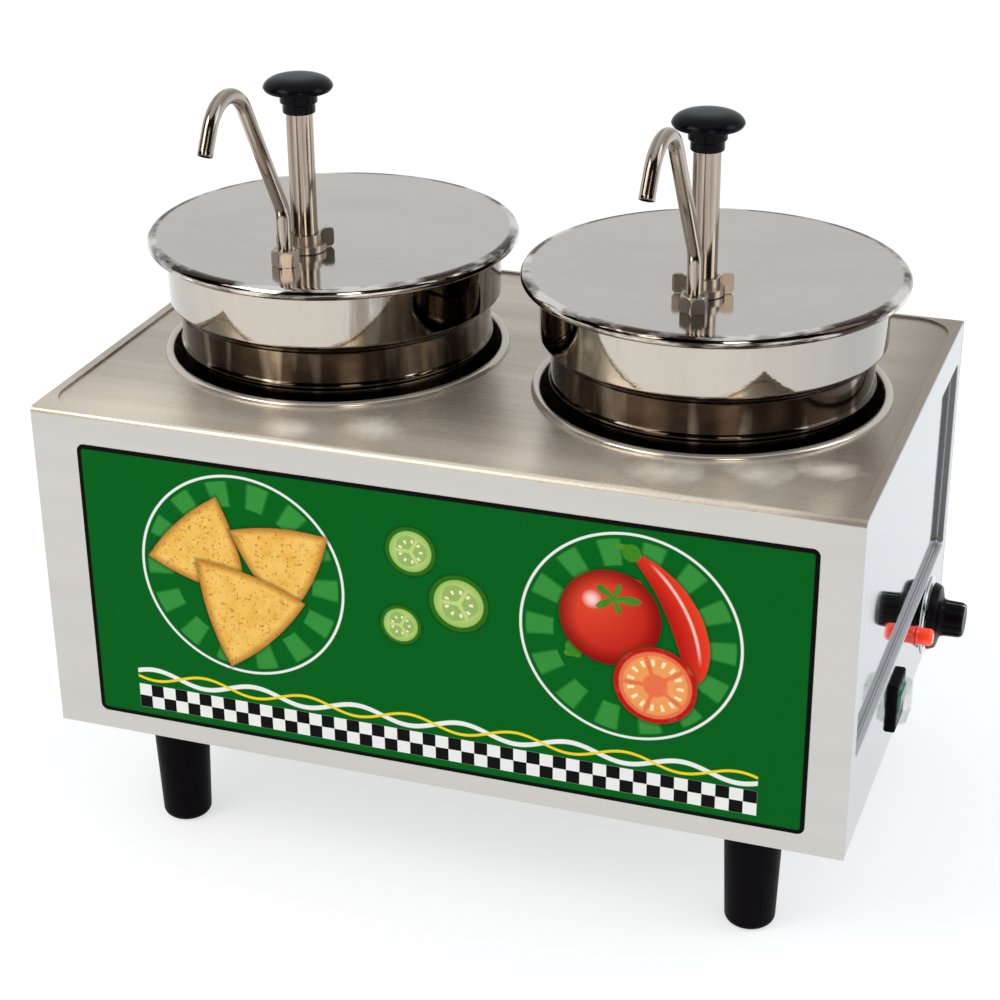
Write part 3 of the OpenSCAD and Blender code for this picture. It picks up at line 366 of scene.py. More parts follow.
def pipe(name, path, profile, side, steps=40, **more):
    # circles carried along a path in a plane: P = c(s) + r (cos v n + sin v side)
    # profile lists (place along the path from 0 to 1, radius); it may run back inside the tube
    path = np.array(path, float)
    length = np.concatenate([[0], np.cumsum(np.linalg.norm(np.diff(path, axis=0), axis=1))])
    at = np.array([q[0] for q in profile]) * length[-1]
    radius = np.array([q[1] for q in profile])[:, None, None]
    centre = np.stack([np.interp(at, length, path[:, k]) for k in range(3)], -1)
    tangent = np.gradient(path, length, axis=0)
    along = np.stack([np.interp(at, length, tangent[:, k]) for k in range(3)], -1)
    along /= np.linalg.norm(along, axis=1)[:, None]
    normal = np.cross(along, side)
    v = np.linspace(0, 2 * math.pi, steps, endpoint=False)[None, :, None]
    grid = centre[:, None] + radius * (np.cos(v) * normal[:, None] + np.sin(v) * np.array(side)[None, None])
    return meshOf(name, grid, True, True, True, **more)


def moulded(name, half, corner, profile, centre, axis="x", steps=96, **more):
    # a rounded rectangle drawn in by each inset and raised by each height of the profile
    # outline: |q| - (half - r) held at zero or more, at distance r, with q turning round once
    u = np.linspace(0, 2 * math.pi, steps, endpoint=False)
    inset, height = (np.array(profile, float)[:, k][:, None] for k in (0, 1))
    r = np.maximum(corner - inset, 0.2 * mm)
    a = half[0] - inset - r + r * 0
    b = half[1] - inset - r + r * 0
    quarter = (np.floor(u / (math.pi / 2))).astype(int) % 4
    sx = np.array([1, -1, -1, 1])[quarter]
    sy = np.array([1, 1, -1, -1])[quarter]
    across = sx * a + r * np.cos(u)
    up = sy * b + r * np.sin(u)
    out = height + 0 * u
    order = {"x": (out, across, up), "y": (across, -out, up), "z": (across, up, out)}[axis]
    grid = np.stack(order, -1) + np.array(centre)
    return meshOf(name, grid, True, True, True, **more)


def stands(piece, body, material, *nodes):
    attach(piece, body)
    if nodes:
        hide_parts(*nodes)
    material.paint(piece)
    return piece


# metals and plastics shared by the pieces
wellSteel = polishedSteel("wellSteel", (0.66, 0.60, 0.52), 0.16, 0.10, 0.10, 14.0, 0.72)
tubeSteel = drawnTube("tubeSteel", (0.13, 0.095, 0.075), (0.62, 0.52, 0.43), 0.12)
spoutSteel = drawnTube("spoutSteel", (0.16, 0.125, 0.10), (0.66, 0.58, 0.50), 0.13)
pumpSteel = polishedSteel("pumpSteel", (0.42, 0.35, 0.29), 0.20, 0.10, 0.12, 60.0, 0.78)
springSteel = drawnTube("springSteel", (0.30, 0.29, 0.28), (0.62, 0.60, 0.57), 0.2)
blackPlastic = mouldedPlastic("blackPlastic", (0.0020, 0.0014, 0.0022), 0.42, 0.10, 0.03)
glossPlastic = mouldedPlastic("glossPlastic", (0.0012, 0.0011, 0.0028), 0.20, 0.04, 0.08)
print("metals and plastics written")


# soft glints in front of the wells: x, y and radius in millimetres
deckGlints = ((-114, -156, 11), (-63, -139, 13), (131, -144, 14), (186, -129, 13), (226, -112, 11))


def deckFinish():
    # casing sheet: brushed along the width; the sunk deck has a finer, worn brush that scatters more light
    # its tone falls off to the right, less to the left, and to the back as painted shade, its front is
    # brightened with painted light, and soft painted glints lie in front of the wells
    f = Finish("deckSteel", metallic=1.0)
    spot, x, y, z = f.place()
    deck = ((z - (casingHigh[2] - 4 * mm)) * 2000).clip()
    lines = f.noise(spot, 1.0, 4.0, 0.65, (16, 1100, 1100))
    streaks = f.noise(spot, 1.0, 3.0, 0.5, (3, 60, 60))
    clouds = f.noise(spot, 6.0, 4.0, 0.55)
    speck = f.noise(spot, 220.0, 2.0, 0.5)
    light = f.mix(streaks, (0.59, 0.575, 0.54), (0.66, 0.645, 0.61))
    # painted shade: a dark warm band along the top fold of the casing
    foldShade = ((z - (casingHigh[2] - 3.2 * mm)) * 700).clip() * 0.8
    light = f.mix(foldShade, light, (0.33, 0.275, 0.23))
    # painted light: the deck is lighter and warmer towards its front
    front = ((-0.085 - y) * 15).clip()
    warm = f.mix((streaks * 1.6 + clouds * 0.6 - 0.6).clip(), (0.50, 0.435, 0.355), (0.70, 0.625, 0.53))
    warm = f.mix(front * 0.75, warm, f.mix(streaks, (0.72, 0.63, 0.51), (0.90, 0.81, 0.68)))
    # painted shade: darker towards the right and left edges and the back
    paintedDarkening = ((x - 0.205) * 22).clip() * 0.80 + ((-0.235 - x) * 22).clip() * 0.30
    paintedDarkening = paintedDarkening + ((y - 0.02) * 5).clip() * 0.2
    warm = f.mix(paintedDarkening.clip(), warm, (0.27, 0.22, 0.17))
    ragged, glint = f.noise(spot, 42.0, 3.0, 0.55, (1, 0.6, 1), 0.6), 0.0
    for gx, gy, r in deckGlints:
        dx, dy = x - gx * mm, (y - gy * mm) * 1.2
        away = (dx * dx + dy * dy).root() * (0.62 / (r * mm))
        glint = (1.15 - away - (ragged - 0.5) * 1.5).clip().most(glint)
    warm = f.mix(glint * 0.8, warm, (0.98, 0.90, 0.78))
    f.feed(Base_Color=f.mix(deck, light, warm))
    f.feed(Metallic=1 - deck * (0.34 + front * 0.16 + glint * 0.30))
    brushed = (clouds - 0.5) * 0.10 + (lines - 0.5) * 0.10 + (speck - 0.5) * 0.03
    f.feed(Roughness=0.40 - deck * 0.13 + brushed)
    f.bump(lines * 0.8 + clouds * 0.2, 0.35, 0.00007)
    return f


casingFinish = deckFinish()
casingFinish.paint(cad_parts["casing"])


# side panels
panelSize = {"depth": 5.0, "front": 17.0, "back": 10.0, "top": 29.0, "band": 64.0, "corner": 7.0,
             "flange": 5.0, "sheet": 1.0, "pressed": 1.3, "folded": 1.2, "draft": 0.7}


def panelFinish():
    # bright rolled sheet: a slow waviness and wiping marks, duller on the drawn walls of the recess, with
    # painted shade deep in the recess and on its rear wall
    f = Finish("panelSteel", metallic=1.0)
    spot, x, y = f.place()[:3]
    swell = f.noise(spot, 5.0, 2.0, 0.4)
    wipes = f.noise(spot, 60.0, 5.0, 0.6, (1, 1, 0.25), 0.6)
    sunk = float((casingHigh[0] - casingLow[0]) / 2) - (x - float(casingMid[0])).abs()
    wall = ((sunk - 0.0004) * 2500).clip() * ((panelSize["depth"] * mm - 0.0003 - sunk) * 2500).clip()
    # painted shade: dark deep in the recess's inner bend and on its rear wall
    recessShade = ((sunk - 0.0034) * 1500).clip() * wall
    rearWallShade = wall * ((y - float(casingHigh[1] - 13 * mm)) * 2000).clip()
    sheet = f.mix(wipes, (0.455, 0.50, 0.535), (0.495, 0.54, 0.575))
    sheet = f.mix(wall, sheet, (0.50, 0.49, 0.50))
    sheet = f.mix(recessShade * 0.8, sheet, (0.10, 0.11, 0.145))
    f.feed(Base_Color=f.mix(rearWallShade, sheet, (0.16, 0.155, 0.16)), Metallic=1 - wall * 0.45)
    f.feed(Roughness=(wipes - 0.45).clip() * 0.12 + 0.05 + wall * 0.30)
    f.bump(swell, 0.10, 0.0012)
    return f


def makePanel(side, outward, finish):
    # pressed sheet in rows of rounded rectangles: some follow the panel's outline, some the recess's
    low, high = boxOf("side_panel_" + side)
    s = {k: v * mm for k, v in panelSize.items()}
    flange, d = s["flange"], s["depth"]
    first = np.array([0, casingLow[1] + s["front"], casingLow[2] + s["band"]])
    last = np.array([0, casingHigh[1] - s["back"], casingHigh[2] - s["top"]])

    def run(points, radius):  # eased corners, with close extra rows that keep the flats flat
        curve = eased(points, radius, 7)
        near = [curve[1] + (curve[0] - curve[1]) * 0.12, curve[-2] + (curve[-1] - curve[-2]) * 0.12]
        return np.vstack([curve[:1], near[:1], curve[1:-1], near[1:], curve[-1:]])

    flat, wall, draft = 4 * mm, s["sheet"], s["draft"]
    dished = run([(2 * flat, d), (draft, d), (0, 0), (-flat, 0)], s["pressed"])
    folded = run([(flat, 0), (0, 0), (0, flange)], s["folded"])
    foldedBack = run([(wall, flange), (wall, wall), (4.5 * mm, wall)], 0.8 * mm)
    dishedBack = run([(-flat, wall), (-wall, wall), (draft - wall, d + wall), (2 * flat, d + wall)],
                     s["pressed"])
    rows = [(dished, last, first, s["corner"]), (folded, high, low, 2 * mm),
            (foldedBack, high, low, 2 * mm), (dishedBack, last, first, s["corner"])]
    profile = np.vstack([r[0] for r in rows])
    count = [len(r[0]) for r in rows]
    half = np.repeat([(r[1] - r[2])[1:] / 2 for r in rows], count, axis=0)
    middle = np.repeat([[0, *((r[1] + r[2])[1:] / 2)] for r in rows], count, axis=0)
    corner = np.repeat([r[3] for r in rows], count)[:, None]
    middle[:, 0] = high[0] if outward > 0 else low[0]
    profile[:, 1] *= -outward
    piece = moulded("sidePanel_" + side, (half[:, :1], half[:, 1:]), corner, profile, middle[:, None],
                    "x", 128, sharp=50)
    stands(piece, "housing", finish, "side_panel_" + side)


panelSteel = panelFinish()
makePanel("left", -1, panelSteel)
makePanel("right", 1, panelSteel)
print("panels pressed")


# lids
lidSize = {"beadRadius": 4.0, "sheet": 1.1, "flatTo": 119.5, "dish": 0.35}


def lidFinish(name, centre):
    # flat spun sheet: very fine rings round the middle, faint clouds, and a buffed bead coloured with
    # painted reflection, bright with dark patches
    f = Finish(name, metallic=1.0)
    spot, x, y = f.place()[:3]
    dx, dy = x - float(centre[0]), y - float(centre[1])
    away = (dx * dx + dy * dy).root()
    rings = f.node("ShaderNodeTexNoise", {"noise_dimensions": "1D"},
                   {"W": away * 2600.0, "Scale": 1.0, "Detail": 3.0})
    clouds = f.noise(spot, 11.0, 5.0, 0.62, (1, 1.7, 1), 0.5)
    brush = f.noise(spot, 1.0, 4.0, 0.6, (40, 700, 1))
    bead = ((away - lidSize["flatTo"] * mm) * 600).clip()
    flat = f.mix((clouds * 1.6 - 0.3).clip(), (0.535, 0.505, 0.47), (0.62, 0.588, 0.55))
    # painted reflection on the bead: dark brown patches on a bright ground
    beadReflections = (f.noise(spot, 24.0, 3.0, 0.6, (1, 1, 6)) * 6 - 2.6).clip()
    rolled = f.mix(beadReflections, (0.05, 0.034, 0.027), (0.80, 0.76, 0.71))
    f.feed(Base_Color=f.mix(bead, flat, rolled))
    f.feed(Roughness=(0.115 + (clouds - 0.5) * 0.07 + (brush - 0.5) * 0.05) * (1 - bead * 0.45))
    f.bump(rings * 0.5 + brush * 0.5, 0.06, 0.00004)
    return f


def makeLid(side):
    low, high = boxOf("lid_" + side)
    centre = (low + high) / 2
    reach = (high[0] - low[0]) / 2
    top, sunk = high[2], high[2] - lidSize["dish"] * mm
    bead, sheet, flat = (lidSize[k] * mm for k in ("beadRadius", "sheet", "flatTo"))
    under, middle = top - 1.2 * mm, np.array([reach - bead, top - bead])
    a = np.radians(np.arange(90, -181, -10))
    around = np.stack([np.cos(a), np.sin(a)], -1)
    # the curl stays open under the edge, as a rolled sheet does
    outer = (middle + bead * around)[a > math.radians(-160)]
    back = (a > math.radians(-160)) & (a < math.radians(60))
    inner = (middle + (bead - sheet) * around)[back][::-1]
    profile = np.vstack([[(0.002, sunk), (flat * 0.5, top - (top - sunk) * 0.8), (flat, top)],
                         outer, inner, [(reach - bead * 1.7, under), (0.002, under)]])
    piece = turned("lidSheet_" + side, profile, centre, 224)
    stands(piece, "cover_" + side, lidFinish("lidSteel_" + side, centre), "lid_" + side)


for side in sides:
    makeLid(side)
print("lids turned")


# inset pots
potSize = {"bandRadius": 114.2, "bodyRadius": 106.7, "bandHeight": 42.8, "shoulder": 9.0, "wall": 1.0,
           "rib": 1.3, "ribUp": 8.0, "ribWidth": 5.4, "beadRadius": 1.8, "footRadius": 14.0}


def potFinish(name, centre, shoulder, toward):
    # spun and buffed steel: a clean mirror band, painted darker towards its sides, over a body coloured
    # with painted reflection, dark brown with bright window patches
    # the side that faces the other pot carries a painted dark reflection of it:
    # the angle from the front is past its limit, broken up by upright noise
    f = Finish(name, metallic=1.0)
    spot, x, y, z = f.place()
    band = ((z - float(shoulder)) * 900).clip()
    turn = ((x - float(centre[0])) * toward).math("ARCTAN2", float(centre[1]) - y)
    uprights = f.noise(spot, 1.0, 4.0, 0.6, (75, 75, 9), 0.3)
    limit = 0.46 if toward > 0 else 0.40
    otherPotReflection = ((turn - limit + (uprights - 0.5) * 1.1) * 4).clip() * ((2.7 - turn) * 3).clip()
    rings = f.noise(spot, 1.0, 3.0, 0.5, (2, 2, 420))
    reflectionMottle = f.noise(spot, 9.0, 4.0, 0.6, (1, 1, 2.4), 0.4)
    wipes = f.noise(spot, 45.0, 4.0, 0.6, (1, 1, 0.3), 0.5)
    swell = f.noise(spot, 9.0, 2.0, 0.4, (1, 1, 0.5))
    # painted reflection: bright window patches and mottling on a dark brown body
    windowReflections = (f.noise(spot, 1.0, 3.0, 0.55, (26, 26, 3), 0.2) * 6 - 3.15).clip()
    body = f.mix((windowReflections * 0.85 + (reflectionMottle - 0.5) * 0.35).clip(), (0.055, 0.038, 0.028), (0.90, 0.79, 0.64))
    bright = f.mix(wipes, (0.50, 0.455, 0.395), (0.60, 0.55, 0.485))
    # painted reflection: the band is darker grey towards its sides
    bright = f.mix(((turn.abs() - 0.3) * 1.2).clip() * 0.6, bright, (0.29, 0.295, 0.30))
    bandAndReflectedBody = f.mix(band, body, bright)
    # painted reflection of the other pot: dark, with upright streaks
    paintedDarkening = f.mix((uprights * 2.4 - 0.85).clip(), (0.035, 0.024, 0.018), (0.36, 0.30, 0.235))
    f.feed(Base_Color=f.mix(otherPotReflection * (band * 0.35 + 0.6), bandAndReflectedBody, paintedDarkening))
    f.feed(Roughness=(wipes - 0.5).clip() * 0.08 + (rings - 0.5) * 0.03 + 0.07 - band * 0.02)
    f.bump(swell * 0.9 + rings * 0.1, 0.16, 0.0010)
    return f


def makePot(side):
    low, high = boxOf("pot_" + side)
    centre, floor, rim = (low + high) / 2, low[2], high[2]
    s = {k: v * mm for k, v in potSize.items()}
    bandLow = rim - s["bandHeight"] + 1.5 * mm
    bodyTop = bandLow - s["shoulder"]
    rib = casingHigh[2] + s["ribUp"]
    t = np.linspace(0, 1, 14)
    # shoulder: r = body + (band - body)(1 - cos(pi t)) / 2 over its height
    step = np.stack([s["bodyRadius"] + (s["bandRadius"] - s["bodyRadius"]) * (1 - np.cos(math.pi * t)) / 2,
                     bodyTop + s["shoulder"] * t], -1)
    ribCurve = np.stack([s["bodyRadius"] + s["rib"] * np.sin(math.pi * t),
                         rib + (t - 0.5) * s["ribWidth"]], -1)
    a = np.linspace(-math.pi / 2, 0, 12)
    curve = s["footRadius"]
    foot = np.stack([s["bodyRadius"] + curve * (np.cos(a) - 1), floor + curve * (1 + np.sin(a))], -1)
    c = np.linspace(-math.pi * 0.5, math.pi * 0.95, 20)
    bead = np.stack([s["bandRadius"] - s["wall"] + s["beadRadius"] * (1 + np.cos(c)),
                     rim - s["beadRadius"] + s["beadRadius"] * np.sin(c)], -1)
    wall = s["wall"]
    under = rim - 2 * s["beadRadius"]
    outer = np.vstack([[(0.002, floor)], foot, ribCurve, step, [(s["bandRadius"], under - 1 * mm)], bead])
    inside = np.vstack([[(s["bandRadius"] - wall, under)], step[::-1] - [wall, -0.4 * mm],
                        foot[::-1] + [-wall, wall * 0.6], [(0.002, floor + wall)]])
    piece = turned("pot_" + side + "_shell", np.vstack([outer, inside]), centre, 224)
    # the finish takes its angle towards the other pot: +1 along x on the left, -1 on the right
    steel = potFinish("potSteel_" + side, centre, bandLow - 1 * mm, 1 if side == "left" else -1)
    stands(piece, "inset_" + side, steel, "pot_" + side)


# wells
wellSize = {"ringHalf": 3.2, "ringHigh": 3.0, "wall": 1.0, "corner": 12.0}


def makeWell(side):
    low, high = boxOf("well_" + side)
    centre, floor = (low + high) / 2, low[2]
    reach = (high[0] - low[0]) / 2
    half, up, wall, bend = (wellSize[k] * mm for k in ("ringHalf", "ringHigh", "wall", "corner"))
    deck, inner = high[2] - up, reach - 2 * half
    t = np.linspace(0, math.pi, 20)
    # ring: a low rounded lip, r = inner + half (1 + cos t), z = deck + up sin(t)^0.8
    lip = np.stack([inner + half * (1 + np.cos(t)), deck + up * np.sin(t).clip(0) ** 0.8], -1)
    a = np.linspace(0, -math.pi / 2, 12)
    around = np.stack([np.cos(a), np.sin(a)], -1)
    middle = np.array([inner - bend, floor + bend + wall])
    curve, back = middle + bend * around, middle + (bend + wall) * around[::-1]
    profile = np.vstack([[(0.002, floor)], back, [(inner + wall, deck - 1.4 * mm), (inner + wall, deck)],
                         lip, [(inner, deck - 2 * mm)], curve, [(0.002, floor + wall)]])
    piece = turned("wellPan_" + side, profile, centre, 224)
    stands(piece, "housing", wellSteel, "well_" + side)


for side in sides:
    makePot(side)
    makeWell(side)
print("pots and wells turned")


# pumps
knobSize = {"capRadius": 22.75, "shaftRadius": 10.7, "neckRadius": 12.3, "footUp": 3.2, "stepUp": 9.0,
            "underUp": 17.2, "edgeUp": 20.0, "topUp": 27.2}
nutSize = {"corner": 9.2, "under": 5.2, "face": 7.2, "chamfer": 6.2, "bore": 5.0}
spoutSize = {"radius": 4.8, "wall": 0.9, "leanUp": 30.0, "lean": 29.7, "bend": 24.0, "stretch": 84.5,
             "gooseneck": 26.0, "turn": 121.0, "outlet": 17.0, "swivel": {"left": -2.0, "right": -7.0}}


def spoutPath(s):
    # centre line as distance ahead and height: straight, arc, straight, arc, straight
    lean, turn = math.radians(s["lean"]), math.radians(s["turn"])
    a = np.linspace(0, lean, 12)
    lower = np.stack([s["bend"] * (1 - np.cos(a)), s["leanUp"] + s["bend"] * np.sin(a)], -1)
    start = lower[-1] + s["stretch"] * np.array([math.sin(lean), math.cos(lean)])
    middle = start + s["gooseneck"] * np.array([math.cos(lean), -math.sin(lean)])
    b = np.linspace(lean, lean + turn, 48)
    neck = middle + s["gooseneck"] * np.stack([-np.cos(b), np.sin(b)], -1)
    out = neck[-1] + s["outlet"] * np.array([math.sin(lean + turn), math.cos(lean + turn)])
    t = np.linspace(0.05, 0.95, 16)[:, None]
    return np.vstack([[(0, -60.0)], lower, lower[-1] * (1 - t) + start * t, neck, [out]]) * mm


def makePlunger(side, axis, tubeLow, tubeHigh):
    # plunger tube: polished, with softly rounded ends
    r = (tubeHigh[0] - tubeLow[0]) / 2
    profile = eased([(0.001, tubeLow[2]), (r, tubeLow[2]), (r, tubeHigh[2] - 20 * mm), (r, tubeHigh[2]),
                     (0.001, tubeHigh[2])], 0.6 * mm)
    tube = turned("plungerTube_" + side + "_skin", profile, axis, 96)
    stands(tube, "plunger_" + side, tubeSteel, "plunger_tube_" + side)

    # knob: r and z of a stepped neck, a nearly flat underside, a thin rim and a shallow dome
    # dome: r = cap cos(t)^0.5, z = edge + (top - edge) sin(t)^1.25
    k = {key: v * mm for key, v in knobSize.items()}
    cap, shaft, neckR, under = k["capRadius"], k["shaftRadius"], k["neckRadius"], k["underUp"]
    t = np.linspace(0, math.pi / 2, 18)
    dome = np.stack([cap * np.cos(t) ** 0.5,
                     k["edgeUp"] + (k["topUp"] - k["edgeUp"]) * np.sin(t) ** 1.25], -1)
    neck = eased([(0.001, k["footUp"]), (shaft, k["footUp"]), (shaft, k["stepUp"]),
                  (neckR, k["stepUp"] + 1 * mm), (neckR, under - 1.4 * mm),
                  (neckR + 1.6 * mm, under - 0.4 * mm), (cap - 1.2 * mm, under + 0.6 * mm),
                  (cap, k["edgeUp"])], 0.8 * mm)
    base = boxOf("plunger_knob_" + side)[0][2]
    profile = np.vstack([neck, dome[1:-1], [(0.001, k["topUp"])]]) + [0, base]
    knob = turned("pumpKnob_" + side, profile, axis, 128, sharp=50)
    stands(knob, "plunger_" + side, glossPlastic, "plunger_knob_" + side)


def makeSpout(side, nut, ahead):
    # discharge tube with an open, slightly rounded outlet
    # the tube is swivelled a little in its nut
    s = spoutSize
    foot, lidTop = boxOf("discharge_tube_" + side)[0][2], boxOf("lid_" + side)[1][2]
    swing = ahead + math.radians(s["swivel"][side])
    faces = np.array([math.cos(swing), math.sin(swing)])
    flat = spoutPath(s)
    flat[0, 1] = foot - lidTop
    out, up = flat[:, 0], flat[:, 1]
    path = np.stack([nut[0] + faces[0] * out, nut[1] + faces[1] * out, lidTop + up], -1)
    r, bore = s["radius"] * mm, (s["radius"] - s["wall"]) * mm
    length = np.linalg.norm(np.diff(path, axis=0), axis=1).sum()
    lip = 0.45 * mm
    stops = [(q, r) for q in np.concatenate([[0, 0.3], np.linspace(0.36, 1 - lip / length, 110)])]
    stops += [(1 - lip * 0.3 / length, r - lip * 0.3), (1, r - lip), (1, bore)]
    stops += [(1 - d * mm / length, bore) for d in (2, 8, 16, 26, 36, 46, 56)]
    spout = pipe("spout_" + side, path, stops, (-faces[1], faces[0], 0.0), 48)
    stands(spout, "cover_" + side, spoutSteel, "discharge_tube_" + side)


def makeNut(side, nut, ahead, z0, z1):
    # hexagon nut: six flats, r(u) = flat / cos((u mod 60) - 30), with turned-down corners
    n = {key: v * mm for key, v in nutSize.items()}
    steps = 96
    u = np.linspace(0, 2 * math.pi, steps, endpoint=False)
    hexagon = n["corner"] * math.cos(math.pi / 6) / np.cos((u % (math.pi / 3)) - math.pi / 6)
    # rows of (share of the corner's reach, height), and inner rings of one radius
    rows = [(0.93, z0), (1.0, z0 + 0.7 * mm), (1.0, z1 - 1.6 * mm), (0.955, z1 - 0.9 * mm),
            (0.90, z1 - 0.45 * mm), (0.86, z1 - 0.12 * mm)]
    inner = [(n["face"], z1), (n["chamfer"], z1), (n["bore"], z1 - 0.6 * mm)]
    rings = [np.full(steps, n["under"])] + [np.minimum(hexagon, n["corner"] * f) for f, _ in rows]
    rings += [np.full(steps, r) for r, _ in inner]
    ring, height = np.array(rings), np.array([z0] + [z for _, z in rows + inner])[:, None] + 0 * u
    grid = np.stack([nut[0] + ring * np.cos(u + ahead), nut[1] + ring * np.sin(u + ahead), height], -1)
    piece = meshOf("riserNut_" + side, grid, True, True, True, sharp=28)
    stands(piece, "cover_" + side, pumpSteel, "discharge_nut_" + side)


def makePump(side):
    tubeLow, tubeHigh = boxOf("plunger_tube_" + side)
    axis = (tubeLow + tubeHigh) / 2
    nutLow, nutHigh = boxOf("discharge_nut_" + side)
    nut = (nutLow + nutHigh) / 2
    ahead = math.atan2(nut[1] - axis[1], nut[0] - axis[0])  # angle from the plunger to the nut
    makePlunger(side, axis, tubeLow, tubeHigh)
    makeSpout(side, nut, ahead)
    makeNut(side, nut, ahead, nutLow[2], nutHigh[2])
    pumpSteel.paint(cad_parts["pump_collar_" + side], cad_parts["pump_cylinder_" + side])


# return springs
springSize = {"turns": 14, "radius": 13.25, "wire": 0.9, "footUp": 230.7, "press": 60.0}


def makeSpring(side):
    # helix with closer turns at its ends:
    # P = (cx + R cos a, cy + R sin a, z), where z rises by a share of the height
    low, high = boxOf("return_spring_" + side)
    centre = (low + high) / 2
    s = {k: v * mm for k, v in springSize.items()}
    t = np.linspace(0, 1, springSize["turns"] * 28)
    a = 2 * math.pi * springSize["turns"] * t
    share = np.interp(t, [0, 0.07, 0.93, 1], [0, 0.025, 0.975, 1])
    path = np.stack([centre[0] + s["radius"] * np.cos(a), centre[1] + s["radius"] * np.sin(a),
                     low[2] + s["wire"] + (high[2] - low[2] - 2 * s["wire"]) * share], -1)
    piece = pipe("returnSpring_" + side, path, [(q, s["wire"]) for q in t], (0, 0, 1), 10)
    stands(piece, "cover_" + side, springSteel, "return_spring_" + side)
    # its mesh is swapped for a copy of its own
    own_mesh(piece)


for side in sides:
    makePump(side)
    makeSpring(side)
print("pumps made")


# legs
def makeLeg(name):
    low, high = boxOf(name)
    centre, r = (low + high) / 2, (high[0] - low[0]) / 2
    foot = r - 3 * mm
    # outline: flat pad, rounded edge, slight taper, and a short straight band under the mounting face
    top = high[2]
    profile = eased([(0.001, 0.0), (foot - 3 * mm, 0.0), (foot, 3.2 * mm), (r - 0.4 * mm, top - 14 * mm),
                     (r, top - 6 * mm), (r, top), (0.001, top)],
                    [0, 2 * mm, 3 * mm, 5 * mm, 3 * mm, 0.5 * mm, 0])
    stands(turned(name + "_skin", profile, centre, 96), "housing", blackPlastic, name)


for name in ("leg_front_left", "leg_front_right", "leg_back_left", "leg_back_right"):
    makeLeg(name)
print("legs turned")


# thermostat dial
dialSize = {"skirt": 24.6, "grip": 13.2, "skirtHeight": 7.5, "flutes": 12, "fluteDepth": 1.1, "plate": 29.0}


def dialFinish(centre):
    # black moulding with one white pointer line on the grip's rim and crown
    f = Finish("dialBlack", color=(0.01, 0.01, 0.011), Specular_IOR_Level=0.07)
    spot, x, y, z = f.place()
    dy, dz = y - float(centre[1]), z - float(centre[2])
    line = ((0.0007 - dy.abs()) * 6000).clip() * (dz > 0.003) * (x > float(centre[0]) + 0.0105)
    worn = f.noise(spot, 60.0, 4.0, 0.55)
    black = f.mix(worn, (0.0025, 0.0015, 0.0025), (0.006, 0.005, 0.006))
    f.feed(Base_Color=f.mix(line, black, (0.85, 0.85, 0.82)), Roughness=(worn - 0.5) * 0.16 + 0.3)
    f.bump(f.noise(spot, 900.0, 3.0, 0.6), 0.08, 0.00008)
    return f


def makeDial():
    low, high = boxOf("dial_knob")
    centre = np.array([low[0], (low[1] + high[1]) / 2, (low[2] + high[2]) / 2])
    d = {k: v * mm for k, v in dialSize.items() if k != "flutes"}
    reach = high[0] - low[0]
    s = d["skirtHeight"]
    skirt, grip = d["skirt"], d["grip"]
    profile = eased([(0.001, 0), (skirt - 0.6 * mm, 0), (skirt, 0.8 * mm), (skirt - 0.3 * mm, 1.8 * mm),
                     (skirt - 2 * mm, s - 1.8 * mm), (grip + 2.4 * mm, s), (grip + 0.6 * mm, s + 1 * mm),
                     (grip, s + 4 * mm), (grip - 0.4 * mm, reach - 2.5 * mm), (grip - 2 * mm, reach),
                     (0.001, reach - 0.5 * mm)], 1.0 * mm, 8)

    def flutes(u, h):  # depth of the grooves: cos(n u) sharpened and held from 0 to 1, only along the grip
        along = np.clip((h - s - 1.5 * mm) / (2 * mm), 0, 1)
        along = along * np.clip((reach - 1.2 * mm - h) / (1.5 * mm), 0, 1)
        return d["fluteDepth"] * along * np.clip(np.cos(dialSize["flutes"] * u) * 1.6 - 0.4, 0, 1)

    piece = turnedSideways("dialKnob", profile, centre, flutes, 288, sharp=40)
    stands(piece, "dial", dialFinish(centre), "dial_knob")
    # plate: a bright disc with a rolled edge and black tick marks near its rim
    low, high = boxOf("dial_plate")
    middle = np.array([low[0], centre[1], centre[2]])
    r, t = d["plate"], high[0] - low[0]
    hole = 5.5 * mm
    profile = eased([(hole, 0), (r - 0.3 * mm, 0), (r, 0.5 * mm), (r - 1.2 * mm, t),
                     (r - 3 * mm, t - 0.5 * mm), (hole, t - 0.5 * mm)], 0.5 * mm)
    plate = Finish("plateChrome", metallic=1.0, roughness=0.12)
    spot, _, y, z = plate.place()
    dy, dz = y - float(centre[1]), z - float(centre[2])
    away = (dy * dy + dz * dz).root()
    ticks = (dy.math("ARCTAN2", dz) * 18.0).cos()
    marks = (ticks > 0.93) * (away > 0.0242) * (away < 0.0262)
    steel = plate.mix(plate.noise(spot, 80.0, 3.0), (0.62, 0.66, 0.66), (0.78, 0.82, 0.82))
    plate.feed(Base_Color=plate.mix(marks, steel, (0.02, 0.02, 0.02)), Metallic=1 - marks)
    plate.bump(plate.noise(spot, 30.0, 2.0), 0.1, 0.0004)
    stands(turnedSideways("dialPlate", profile, middle, None, 160), "housing", plate, "dial_plate")


makeDial()


# pilot lamp and switch
lampSize = {"flange": 7.2, "lens": 6.3, "rib": 0.22}


